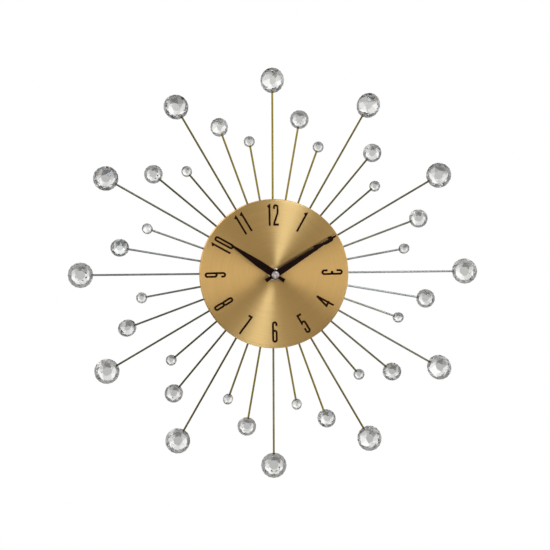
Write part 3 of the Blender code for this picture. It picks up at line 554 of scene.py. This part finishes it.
ROD_COUNT = 36
ROD_RADIUS = 0.92 * MM
ROD_START = 28.0 * MM  # from the shaft
BORE_SHARES = {"large": 0.30, "medium": 0.36, "small": 0.45}  # depth of the bore over the radius
BORE_CLEARANCE = 0.14 * MM
BORE_FLOOR_GAP = 0.3 * MM
BEAD_SPIN = 21.0  # most that a bead has turned on its rod, in degrees

# The crystals' cut, as shares of the girdle's radius
CROWN_SHARE = 0.62  # half of the thickness
BELT_SHARE = 0.035  # half of the girdle's height
FACET_EDGE_SHARE = 0.012
FRONT_CUT = (0.50, 0.79)  # radius of the table and of the star facets' tips
BACK_CUT = (0.38, 0.72)

WELD_HALVES = mm(0.75, 0.55, 2.1)  # across, in depth and along the rod
WELD_REACH = 57.2 * MM
WELD_ASIDE = 1.15 * MM
WELD_BEHIND = 0.55 * MM  # behind the rod's centre line

PLATE_DEPTHS = (depths_of("spoke_frame")[0], 18.6 * MM)
PLATE_RADIUS = 60.0 * MM
PLATE_BORE = 4.3 * MM
RIB_RADIUS, RIB_HALF, RIB_RISE = mm(52.0, 2.2, 0.9)


def crystal_facts(size):
    """Place along the rod, girdle radius and depth of the crystals of one size."""
    low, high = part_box(f"crystal_{size}_01")
    centre = (low + high) / 2.0
    offset = centre - SHAFT
    reach = sqrt(offset.x**2 + offset.z**2)
    return reach, (high.z - low.z) / 2.0, -centre.y


def crystal_mesh(radius, bore_radius, bore_depth):
    """A bead cut like a brilliant on both faces, with a narrow girdle, drilled from below."""
    half = CROWN_SHARE * radius
    belt = BELT_SHARE * radius
    eighth = pi / 4.0
    bm = bmesh.new()
    belts = []
    for side, cut in ((-1.0, FRONT_CUT), (1.0, BACK_CUT)):
        table, star = (share * radius for share in cut)
        along_main = (star * cos(eighth / 2.0) - table) / (radius - table)
        star_height = belt + (half - belt) * (1.0 - along_main)
        girdle = [bm.verts.new((x, side * belt, z)) for x, z in circle(radius, 16, phase=eighth / 2.0)]
        tables = [bm.verts.new((x, side * half, z)) for x, z in circle(table, 8, phase=eighth / 2.0)]
        stars = [bm.verts.new((x, side * star_height, z)) for x, z in circle(star, 8, phase=eighth)]
        belts.append(girdle)
        bm.faces.new(tables)
        for i in range(8):
            j = (i + 1) % 8
            tip, notch, next_tip = girdle[2 * i], girdle[2 * i + 1], girdle[2 * j]
            bm.faces.new((tables[i], stars[i], tables[j]))
            bm.faces.new((tables[i], stars[i - 1], tip, stars[i]))
            bm.faces.new((stars[i], tip, notch))
            bm.faces.new((stars[i], notch, next_tip))
    for i in range(16):
        j = (i + 1) % 16
        bm.faces.new((belts[0][i], belts[0][j], belts[1][j], belts[1][i]))
    solid = bevelled(mesh_of(bm, "crystal"), FACET_EDGE_SHARE * radius, 1, 6.0)
    bore = rod_mesh("bore", bore_radius, 0.0, -radius - MM, bore_depth - radius)
    return boolean(solid, bore, "DIFFERENCE")


def build_sunburst():
    """Rods with their crystals, and the weld beads that hold them on the back plate."""
    rods = []
    beads = []
    _, _, rod_depth = crystal_facts("large")
    for k, (size, bore_share) in enumerate(BORE_SHARES.items()):
        reach, radius, _ = crystal_facts(size)
        bore = bore_share * radius
        end = reach - radius + bore - BORE_FLOOR_GAP
        drilled = crystal_mesh(radius, ROD_RADIUS + BORE_CLEARANCE, bore)
        for i in range(ROD_COUNT // 3):
            number = 3 * i + k
            turn = 2.0 * pi * number / ROD_COUNT
            spin = Matrix.Rotation(radians(BEAD_SPIN * sin(2.4 * number + 1.0)), 4, "Z")
            bead = drilled.copy()
            bead.transform(Matrix.Translation((0.0, -rod_depth, reach)) @ spin)
            node = f"crystal_{size}_{i + 1:02d}"
            piece(
                node + "_cut", bead, "crystal", "clock_body", (node,), turn=turn, sharp_degrees=1.0
            )
            rod = rod_mesh("rod", ROD_RADIUS, rod_depth, ROD_START, end)
            rod.transform(Matrix.Rotation(turn, 4, "Y"))
            rods.append(rod)
            beads += weld_beads(turn, rod_depth, number)
    piece("rods", merged(rods, "rods"), "rod_brass", "clock_body", ("spoke_frame",))
    filler = merged(beads, "weld_beads")
    piece("weld_beads", filler, "weld_metal", "clock_body", sharp_degrees=80.0)


def weld_beads(turn, rod_depth, number):
    """Two lumps of filler beside each rod where it crosses the plate's rim."""
    lumps = []
    for side in (-1.0, 1.0):
        bm = bmesh.new()
        bmesh.ops.create_icosphere(bm, subdivisions=2, radius=1.0)
        for vert in bm.verts:
            vert.co *= 1.0 + 0.12 * sin(9.0 * vert.co.x + 5.0 * vert.co.z + number)
        lump = mesh_of(bm, "lump")
        wide, deep, long = WELD_HALVES
        lump.transform(Matrix.Diagonal((wide, deep, long + 0.3 * MM * sin(1.7 * number), 1.0)))
        lump.transform(Matrix.Translation((side * WELD_ASIDE, WELD_BEHIND - rod_depth, WELD_REACH)))
        lump.transform(Matrix.Rotation(turn, 4, "Y"))
        lumps.append(lump)
    return lumps


def build_back_plate():
    """A disc with a rolled edge and a pressed rib that stiffens it round the movement."""
    near, far = PLATE_DEPTHS
    rim = PLATE_RADIUS
    profile = [(PLATE_BORE, far), (PLATE_BORE, near)]
    for cosine, sine in arc((0.0, 0.0), 1.0, 180.0, 0.0):
        profile.append((RIB_RADIUS + RIB_HALF * cosine, near + RIB_RISE * sine))
    profile += [(rim - 0.5 * MM, near), (rim, near + 0.5 * MM), (rim, far - 0.4 * MM), (rim - 0.4 * MM, far)]
    mesh = turned_mesh("back_plate", profile, 144)
    piece("back_plate", mesh, "plate_brass", "clock_body", sharp_degrees=40.0)


# ---------------------------------------------------------------- dial and numerals

DIAL_SHEET = 0.8 * MM
DIAL_EDGE = 0.8 * MM  # radius of the turned rim
FACE_RINGS = 12  # bands that divide the face between the rim and the hole
DIAL_TURN = -0.8  # the nut has clamped the dial a little anticlockwise
NUMERAL_SHIFT = Vector((-0.5 * MM, 0.0, 0.5 * MM))  # the ring of numerals sits a little off centre
STROKE = 1.8 * MM
NUMERAL_HEIGHT = 19.7 * MM
NUMERAL_RADIUS = 54.2 * MM
NUMERAL_DEPTHS = mm(-0.15, 0.45)  # from the dial's face
FEET_OUT = range(4, 9)  # hours whose numerals stand with their feet to the rim
DIGIT_HALF = 1.65 * MM  # from a digit's middle to the centre of its side strokes
DIGIT_TOP = (NUMERAL_HEIGHT - STROKE) / 2.0
DIGIT_PITCH = 5.9 * MM
NUMERAL_EDGE = 0.09 * MM


def build_dial():
    """A spun pan: the face, the rounded rim and the skirt with its lip."""
    near, far = depths_of("dial")
    radius = radius_of("dial")
    skirt = radius - DIAL_SHEET
    edge = radius - DIAL_EDGE
    hole = SLEEVE_BORE + 0.2 * MM
    profile = [(SLEEVE_BORE, far - DIAL_SHEET), (skirt, far - DIAL_SHEET), (skirt, near + 0.2 * MM)]
    profile += [(radius - 0.55 * MM, near), (radius - 0.2 * MM, near), (radius, near + 0.25 * MM)]
    profile += arc((edge, far - DIAL_EDGE), DIAL_EDGE, 0.0, 90.0)
    profile += [(edge - (edge - hole) * i / FACE_RINGS, far) for i in range(1, FACE_RINGS)]
    profile += [(SLEEVE_BORE + 0.1 * MM, far), (SLEEVE_BORE, far - 0.1 * MM)]
    mesh = turned_mesh("dial_face", profile, 288)
    piece("dial_face", mesh, "dial_gold", "clock_body", ("dial",), sharp_degrees=50.0)


def loop_path(bottom, top):
    """A narrow closed loop with round ends."""
    half = DIGIT_HALF
    return arc((0.0, top - half), half, 0.0, 180.0) + arc((0.0, bottom + half), half, 180.0, 360.0)


def digit_paths(digit):
    """Centre lines of a digit's strokes, as (closed, points), for a digit that stands upright."""
    half = DIGIT_HALF
    top = DIGIT_TOP
    hook = 3.4 * MM
    long_hook = 4.7 * MM
    top_bend = arc((0.0, top - half), half, 0.0, 180.0)
    foot_bend = arc((0.0, half - top), half, 360.0, 180.0)
    if digit == 0:
        return [(True, loop_path(-top, top))]
    if digit == 1:
        return [(False, [(-1.75 * MM, top - 1.35 * MM), (0.0, top), (0.0, -top - STROKE / 2.0)])]
    if digit == 2:
        path = [(-half, top - hook)] + top_bend[::-1]
        path += [(half, top - 6.0 * MM), (half * 0.8, top - 8.2 * MM)]
        path += [(-half * 0.85, -top + 2.2 * MM), (-half, -top), (half + STROKE / 2.0, -top)]
        return [(False, path)]
    if digit == 3:
        waist = arc((half * 0.25, 1.0 * MM), half * 0.75, 0.0, -80.0, 5)
        upper = [(-half, top - long_hook)] + top_bend[::-1] + waist + [(-0.6 * half, 0.2 * MM)]
        lower = [(x, -z) for x, z in upper]
        return [(False, upper), (False, lower)]
    if digit == 4:
        bar = 5.6 * MM - top
        stem = [(half * 0.55, top), (half * 0.55, -top)]
        sail = [(half * 0.4, top - 0.3 * MM), (-half * 1.7, bar), (half * 1.35, bar)]
        return [(False, stem), (False, sail)]
    if digit == 5:
        shoulder = arc((0.0, 0.2 * MM), half, 115.0, 0.0, 6)
        path = [(half + STROKE / 4.0, top), (-half, top), (-half, 0.9 * MM)] + shoulder
        path += foot_bend + [(-half, long_hook - top)]
        return [(False, path)]
    if digit == 6:
        rise = [(half, top - hook)] + top_bend + [(-half, 0.0)]
        return [(False, rise), (True, loop_path(-top, 1.2 * MM))]
    if digit == 7:
        return [(False, [(-half, top), (half, top), (-half * 0.55, -top - STROKE / 2.0)])]
    if digit == 8:
        return [(True, loop_path(0.0, top)), (True, loop_path(-top, 0.0))]
    fall = [(-half, hook - top)] + foot_bend[::-1] + [(half, 0.0)]
    return [(False, fall), (True, loop_path(-1.2 * MM, top))]


def stroke_outline(points, closed, width):
    """Left and right sides of a line of even width, with mitred corners."""
    path = [Vector(p) for p in points]
    count = len(path)
    sides = ([], [])
    for i, point in enumerate(path):
        before = point - path[i - 1] if closed or i > 0 else path[1] - point
        after = path[(i + 1) % count] - point if closed or i < count - 1 else point - path[i - 1]
        first = Vector((-before.y, before.x)).normalized()
        second = Vector((-after.y, after.x)).normalized()
        mitre = (first + second).normalized()
        reach = width / 2.0 / max(0.35, mitre.dot(first))
        sides[0].append(tuple(point + mitre * reach))
        sides[1].append(tuple(point - mitre * reach))
    return sides


def stroke_mesh(points, closed, width, depths):
    left, right = stroke_outline(points, closed, width)
    if not closed:
        return plate_mesh("stroke", left + right[::-1], depths)
    inner, outer = sorted((left, right), key=lambda side: max(x for x, _ in side))
    return plate_mesh("stroke", outer, depths, [inner])


def raised_mark(strokes, width, depths, edge):
    """One raised mark, with its edges rounded, from (closed, points) strokes."""
    mark = None
    for closed, points in strokes:
        stroke = stroke_mesh(points, closed, width, depths)
        mark = boolean(mark, stroke, "UNION") if mark else stroke
    return bevelled(mark, edge, 2, 40.0)


def build_numerals():
    face = depths_of("dial")[1]
    depths = [face + rise for rise in NUMERAL_DEPTHS]
    for hour in range(1, 13):
        digits = [int(mark) for mark in str(hour)]
        strokes = []
        for i, digit in enumerate(digits):
            aside = DIGIT_PITCH * (i - (len(digits) - 1) / 2.0)
            for closed, points in digit_paths(digit):
                strokes.append((closed, [(x + aside, z) for x, z in points]))
        mesh = raised_mark(strokes, STROKE, depths, NUMERAL_EDGE)
        if hour in FEET_OUT:
            mesh.transform(Matrix.Rotation(pi, 4, "Y"))
        mesh.transform(Matrix.Translation((0.0, 0.0, NUMERAL_RADIUS)))
        spot = SHAFT + NUMERAL_SHIFT
        turn = radians(30.0 * hour + DIAL_TURN)
        piece(f"numeral_{hour:02d}", mesh, "numeral_ink", "clock_body", place=spot, turn=turn)


# ---------------------------------------------------------------- nuts and hands


def hexagon(corner, segments_per_side):
    corners = circle(corner, 6)
    points = []
    for one, other in zip(corners, corners[1:] + corners[:1]):
        for i in range(segments_per_side):
            share = i / segments_per_side
            points.append((one[0] + (other[0] - one[0]) * share, one[1] + (other[1] - one[1]) * share))
    return points


def build_washer():
    near, far = depths_of("dial_washer")
    radius = radius_of("dial_washer")
    chamfer = 0.12 * MM
    profile = [(SLEEVE_BORE, near), (radius - chamfer, near), (radius, near + chamfer)]
    profile += [(radius, far - chamfer), (radius - chamfer, far), (SLEEVE_BORE, far)]
    piece("washer", turned_mesh("washer", profile, 72), "brass", "clock_body", ("dial_washer",))


def build_dial_nut():
    """A hexagon nut, chamfered by cutting it with a turned form."""
    near, far = depths_of("hex_nut")
    low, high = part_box("hex_nut")
    flat = (high.z - low.z) / 2.0
    corner = flat / cos(pi / 6.0)
    rise = (corner - flat) * 0.6
    face = flat * 0.97
    blank = plate_mesh("nut", hexagon(corner, 8), (near, far), [circle(SLEEVE_BORE, 48)])
    form = [(0.0, near - MM), (flat, near - MM), (flat, near), (corner, near + rise)]
    form += [(corner, far - rise), (face, far), (face, far + MM), (0.0, far + MM)]
    mesh = boolean(blank, turned_mesh("form", form, 96, closed=False), "INTERSECT")
    mesh = bevelled(mesh, 0.08 * MM, 2, 25.0)
    piece("dial_nut", mesh, "brass", "clock_body", ("hex_nut",))


HANDS = (
    # node, degrees clockwise from 12, length, half widths at the hub, shoulder and tip, bore, body
    ("minute_hand", 57.8, 67.0 * MM, mm(3.2, 2.45, 0.8), 1.25 * MM, "minute"),
    ("hour_hand", 304.4, 49.0 * MM, mm(3.5, 3.3, 0.85), 2.7 * MM, "hour"),
)
HAND_THICKNESS = 0.6 * MM
HAND_EDGE = 0.14 * MM
HAND_HUB = 4.5 * MM
SHOULDER_SHARE = 0.35
HAND_TAIL = 10.5 * MM
TAIL_HALVES = mm(1.3, 1.8)  # at the hub and at the end


def hand_outline(length, halves):
    """Outline of a hand that points up: half widths at the hub, the shoulder and the round tip."""
    hub_half, shoulder_half, tip_half = halves
    right = arc((0.0, length - tip_half), tip_half, 90.0, 5.0, 5)
    right.append((shoulder_half, SHOULDER_SHARE * length))
    first = degrees(acos(hub_half / HAND_HUB))
    last = degrees(asin(TAIL_HALVES[0] / HAND_HUB)) - 90.0
    right += arc((0.0, 0.0), HAND_HUB, first, last, 20)
    right.append((TAIL_HALVES[1], -HAND_TAIL))
    left = [(-x, z) for x, z in reversed(right)]
    return right + left[:-1]


def build_hands():
    for node, clock_angle, length, halves, bore, body in HANDS:
        far = depths_of(node)[1]
        outline = hand_outline(length, halves)
        blade = plate_mesh(node, outline, (far - HAND_THICKNESS, far), [circle(bore, 32)])
        blade = bevelled(blade, HAND_EDGE, 3, 25.0)
        piece(node + "_blade", blade, "hand_black", body, (node,), turn=radians(clock_angle))


def build_hour_collar():
    """The brass collar that holds the hour hand on its tube."""
    near, far = depths_of("hour_hand")
    rim, bore, chamfer = mm(3.5, 2.7, 0.2)
    far -= HAND_THICKNESS
    collar = [(bore, near), (rim - chamfer, near), (rim, near + chamfer), (rim, far), (bore, far)]
    piece("hour_hand_collar", turned_mesh("collar", collar, 48), "brass", "hour")


def build_cap_nut():
    """A turned cap nut with a rounded crown and a shallow dimple."""
    near, far = depths_of("hand_nut")
    radius = radius_of("hand_nut")
    bore, floor, crown, chamfer = mm(1.3, 0.9, 1.4, 0.2)
    profile = [(0.0, far - floor), (bore, far - floor), (bore, near)]
    profile += [(radius - chamfer, near), (radius, near + chamfer)]
    for cosine, sine in arc((0.0, 0.0), 1.0, 0.0, 90.0):
        profile.append((radius * (0.45 + 0.55 * cosine), far - crown + crown * sine))
    for share, sink in ((0.36, 0.04), (0.28, 0.25), (0.14, 0.38), (0.0, 0.40)):
        profile.append((radius * share, far - sink * MM))
    mesh = turned_mesh("cap_nut", profile, 96, closed=False)
    piece("cap_nut", mesh, "nickel", "minute", ("hand_nut",), sharp_degrees=45.0)


# ---------------------------------------------------------------- movement

SHELLS = (
    # node, look and slot, body, edge radius
    ("movement_case", "black_plastic", "clock_body", 0.35 * MM),
    ("rear_cover", "black_plastic", "clock_body", 0.25 * MM),
    ("setting_knob", "gear_plastic", "knob", 0.12 * MM),
    ("contact_negative", "spring_steel", "clock_body", 0.05 * MM),
    ("contact_positive", "spring_steel", "clock_body", 0.05 * MM),
)
MARK_LINE = 0.95 * MM
MARK_DEPTHS = mm(-0.25, 0.2)  # from the lid's face
MARK_EDGE = 0.07 * MM
ARROW_RADIUS = 7.5 * MM  # round the setting knob
CELL_SIGN = mm(-21.0, -1.0, -8.0, -3.0, 1.0)  # left, right, bottom, top and corner radius
LABEL_FRAME = mm(-23.0, 7.0, 8.5, 22.5, 1.5)
PIN_SPOTS = (mm(-25.2, 24.7), mm(25.2, 24.7), mm(-25.2, 4.0), mm(13.5, 18.0))


def build_movement():
    for node, look, body, edge in SHELLS:
        piece(node + "_shell", cad_copy(node, edge), look, body, (node,), place=Vector())


def frame_outline(left, right, bottom, top, corner):
    """A rectangle with rounded corners."""
    points = arc((right - corner, top - corner), corner, 90.0, 0.0, 4)
    points += arc((right - corner, bottom + corner), corner, 0.0, -90.0, 4)
    points += arc((left + corner, bottom + corner), corner, -90.0, -180.0, 4)
    return points + arc((left + corner, top - corner), corner, 180.0, 90.0, 4)


def build_cover_marks():
    """Raised moulding marks on the lid: the knob's turning arrow, a cell sign and pin rings."""
    knob = Vector(JOINTS["knob_turn"]["pos_m"]) - SHAFT
    sweep = arc((knob.x, knob.z), ARROW_RADIUS, 140.0, -120.0, 40)
    strokes = [(False, sweep)]
    for end, heading in ((sweep[0], 230.0), (sweep[-1], 150.0)):
        barbs = arc(end, 1.5 * MM, heading - 35.0, heading + 35.0, 2)
        strokes.append((False, [barbs[0], end, barbs[1]]))
    strokes.append((True, frame_outline(*CELL_SIGN)))
    strokes.append((False, [mm(-0.6, -5.5), mm(0.8, -5.5)]))  # the cell's nub
    strokes.append((False, [mm(-18.8, -5.5), mm(-16.8, -5.5)]))  # minus
    strokes.append((False, [mm(-5.2, -5.5), mm(-3.2, -5.5)]))  # plus
    strokes.append((False, [mm(-4.2, -6.5), mm(-4.2, -4.5)]))
    strokes.append((True, frame_outline(*LABEL_FRAME)))
    strokes += [(True, circle(1.1 * MM, 20, spot)) for spot in PIN_SPOTS]
    face = depths_of("rear_cover")[0]
    marks = raised_mark(strokes, MARK_LINE, [face + rise for rise in MARK_DEPTHS], MARK_EDGE)
    # the marks are grey on the black lid: a painted highlight on the raised moulding
    piece("cover_marks", marks, "mark_grey", "clock_body")


def build_battery():
    """An AA cell: sleeve with a rolled groove, steel base and a positive nub."""
    low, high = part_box("battery")
    profile = [mm(0.0, 0.2), mm(4.3, 0.2), mm(4.7, 0.0), mm(6.2, 0.0)]
    profile += [mm(6.7, 0.35), mm(6.75, 0.9), mm(7.1, 1.05), mm(7.1, 46.2)]
    profile += [mm(6.95, 46.4), mm(6.8, 46.9), mm(6.95, 47.4), mm(7.05, 47.6), mm(7.05, 48.2)]
    profile += [mm(6.7, 48.6), mm(5.6, 48.8), mm(5.4, 48.5), mm(3.2, 48.5)]
    profile += [mm(2.75, 48.8), mm(2.7, 49.9), mm(2.35, 50.2), mm(0.0, 50.2)]
    mesh = turned_mesh("battery_cell", profile, 72, closed=False)
    mesh.transform(Matrix.Rotation(pi / 2.0, 4, "Z"))
    middle = (low + high) / 2.0
    spot = Vector((low.x, middle.y, middle.z))
    piece("battery_cell", mesh, "battery_wrap", "battery", ("battery",), place=spot)


def finish_cad_nodes():
    """The hidden works keep their CAD shapes and take finished materials."""
    slots = {part["node"]: part["material_slot"] for part in frame["record"]["subparts"]}
    for name, node in frame["nodes"].items():
        node.data.materials.clear()
        node.data.materials.append(LOOKS[slots[name]])


# ---------------------------------------------------------------- studio and camera

LIGHT_DISTANCE = 2.4
WHITE = (1.0, 1.0, 1.0)
COOL = (0.82, 1.0, 1.28)
WARM = (1.0, 0.93, 0.80)
LIGHTS = (
    # name, angle round the dial, lean off its axis, width, height, power, colour
    ("top_box", 22.0, 45.0, 0.60, 1.1, 13.5, COOL),
    ("bottom_box", 187.0, 45.0, 0.60, 1.1, 9.0, COOL),
    ("left_box", 264.0, 45.0, 1.7, 1.0, 10.5, WHITE),
    ("right_box", 95.0, 45.0, 1.7, 1.0, 10.5, WHITE),
    ("fill", 0.0, 5.0, 2.0, 2.0, 2.9, WARM),
    ("rear_box", 320.0, 130.0, 1.2, 1.2, 9.0, WHITE),
)
FLOOR_RADIUS = 0.62
FLOOR_PLACE = (0.0, -0.25, -0.62)
FLOOR_FADE = (0.25, 0.61)  # distances from its middle where the fade starts and ends

VIEW_AZIMUTH = radians(-5.5)
VIEW_ELEVATION = radians(4.0)
VIEW_ROLL = radians(0.25)  # the clock hangs a little off plumb
VIEW_DISTANCE = 6.0
VIEW_WIDTH = 0.5093  # of what the camera sees in the plane of the rods
AIM_OFFSET = mm(1.82, -1.75)  # from the shaft in that plane, right and up
SENSOR_WIDTH = 36.0


def studio_world():
    """White behind the object for the camera; for the rest a pale wall and a dim room in front."""
    world = bpy.data.worlds.new("studio")
    bpy.context.scene.world = world
    world.use_nodes = True
    nodes = Nodes(world.node_tree)
    nodes.tree.nodes.clear()
    x, y, z = nodes.axes(nodes.node("TexCoord").outputs["Generated"])
    aside = nodes.maths("ABSOLUTE", x)
    wall_aside = nodes.smooth(aside, 0.48, 0.85, 0.15, 0.45)
    wall_above = nodes.smooth(z, -0.30, 0.30, -0.55, 0.30)
    wall = nodes.maths("ADD", wall_aside, wall_above)
    room_aside = nodes.smooth(aside, 0.0, 0.42, 0.60, 0.85)
    room_above = nodes.smooth(z, 0.2, 1.0, -0.6, 0.1)
    horizon = nodes.smooth(z, 0.02, 0.09, -0.42, -0.05)
    overhead = nodes.smooth(z, 0.0, 0.22, 0.05, 0.4)
    ahead = nodes.smooth(y, 0.26, 0.0, -0.98, -0.86)
    room = nodes.maths("MULTIPLY", room_aside, room_above)
    for glow in (horizon, overhead, ahead):
        room = nodes.maths("ADD", room, glow)
    wall_share = nodes.smooth(y, 0.0, 1.0, 0.25, 0.55)
    room_share = nodes.maths("SUBTRACT", 1.0, wall_share)
    wall_part = nodes.maths("MULTIPLY", wall, wall_share)
    room_part = nodes.maths("MULTIPLY", room, room_share)
    level = nodes.maths("ADD", wall_part, room_part)
    around = nodes.node("Background", {"Color": level, "Strength": 1.0})
    white = nodes.node("Background", {"Color": (*WHITE, 1.0), "Strength": 1.0})
    seen = nodes.node("LightPath").outputs["Is Camera Ray"]
    mix = nodes.node("MixShader", {0: seen, 1: around.outputs[0], 2: white.outputs[0]})
    nodes.node("OutputWorld", {0: mix.outputs[0]})


def soft_box(name, clock_angle, lean, width, height, power, colour):
    """A rectangular light that faces the clock, placed by its angle round the dial (clockwise
    from 12) and its lean away from the dial's axis, both in degrees."""
    data = bpy.data.lights.new(name, "AREA")
    data.shape = "RECTANGLE"
    data.size = width
    data.size_y = height
    data.energy = power
    data.color = colour
    light = bpy.data.objects.new(name, data)
    angle = radians(clock_angle)
    across, out = sin(radians(lean)), cos(radians(lean))
    direction = Vector((across * sin(angle), -out, across * cos(angle)))
    tangent = Vector((cos(angle), 0.0, -sin(angle)))
    light.matrix_world = Matrix((tangent, direction.cross(tangent), direction)).transposed().to_4x4()
    light.location = SHAFT + direction * LIGHT_DISTANCE
    light.visible_camera = False
    light.visible_transmission = False
    COLLECTION.objects.link(light)


def floor_card():
    """White card that fades out towards its rim."""
    look = Look("floor", (0.95, 0.92, 0.87), 0.65)
    place = look.place()
    look.tone(look.noise(place, 4.0), 0.98, 1.0)
    distance = look.node("VectorMath", {0: place}, operation="LENGTH").outputs["Value"]
    look.set("Alpha", look.ramp(distance, 1.0, 0.0, *FLOOR_FADE))
    return look.material


def build_floor():
    bm = bmesh.new()
    bmesh.ops.create_circle(bm, cap_ends=True, radius=FLOOR_RADIUS, segments=128)
    mesh = mesh_of(bm, "floor")
    mesh.materials.append(floor_card())
    floor = bpy.data.objects.new("floor", mesh)
    floor.location = FLOOR_PLACE
    COLLECTION.objects.link(floor)


def build_camera():
    data = bpy.data.cameras.new("camera")
    data.sensor_width = SENSOR_WIDTH
    data.lens = SENSOR_WIDTH * VIEW_DISTANCE / VIEW_WIDTH
    camera = bpy.data.objects.new("camera", data)
    across, out = sin(VIEW_AZIMUTH), cos(VIEW_AZIMUTH)
    back = Vector((across * cos(VIEW_ELEVATION), -out * cos(VIEW_ELEVATION), sin(VIEW_ELEVATION)))
    camera.rotation_mode = "QUATERNION"
    camera.rotation_quaternion = back.to_track_quat("Z", "Y") @ Quaternion((0.0, 0.0, 1.0), -VIEW_ROLL)
    aim = SHAFT + Vector((AIM_OFFSET[0], -crystal_facts("large")[2], AIM_OFFSET[1]))
    camera.location = aim + back * VIEW_DISTANCE
    COLLECTION.objects.link(camera)
    bpy.context.scene.camera = camera
    bpy.context.scene.view_settings.view_transform = "Standard"


build_camera()
studio_world()
for light in LIGHTS:
    soft_box(*light)
build_floor()
finish_cad_nodes()
build_sunburst()
build_back_plate()
build_dial()
build_numerals()
build_washer()
build_dial_nut()
build_hands()
build_hour_collar()
build_cap_nut()
build_movement()
build_cover_marks()
build_battery()
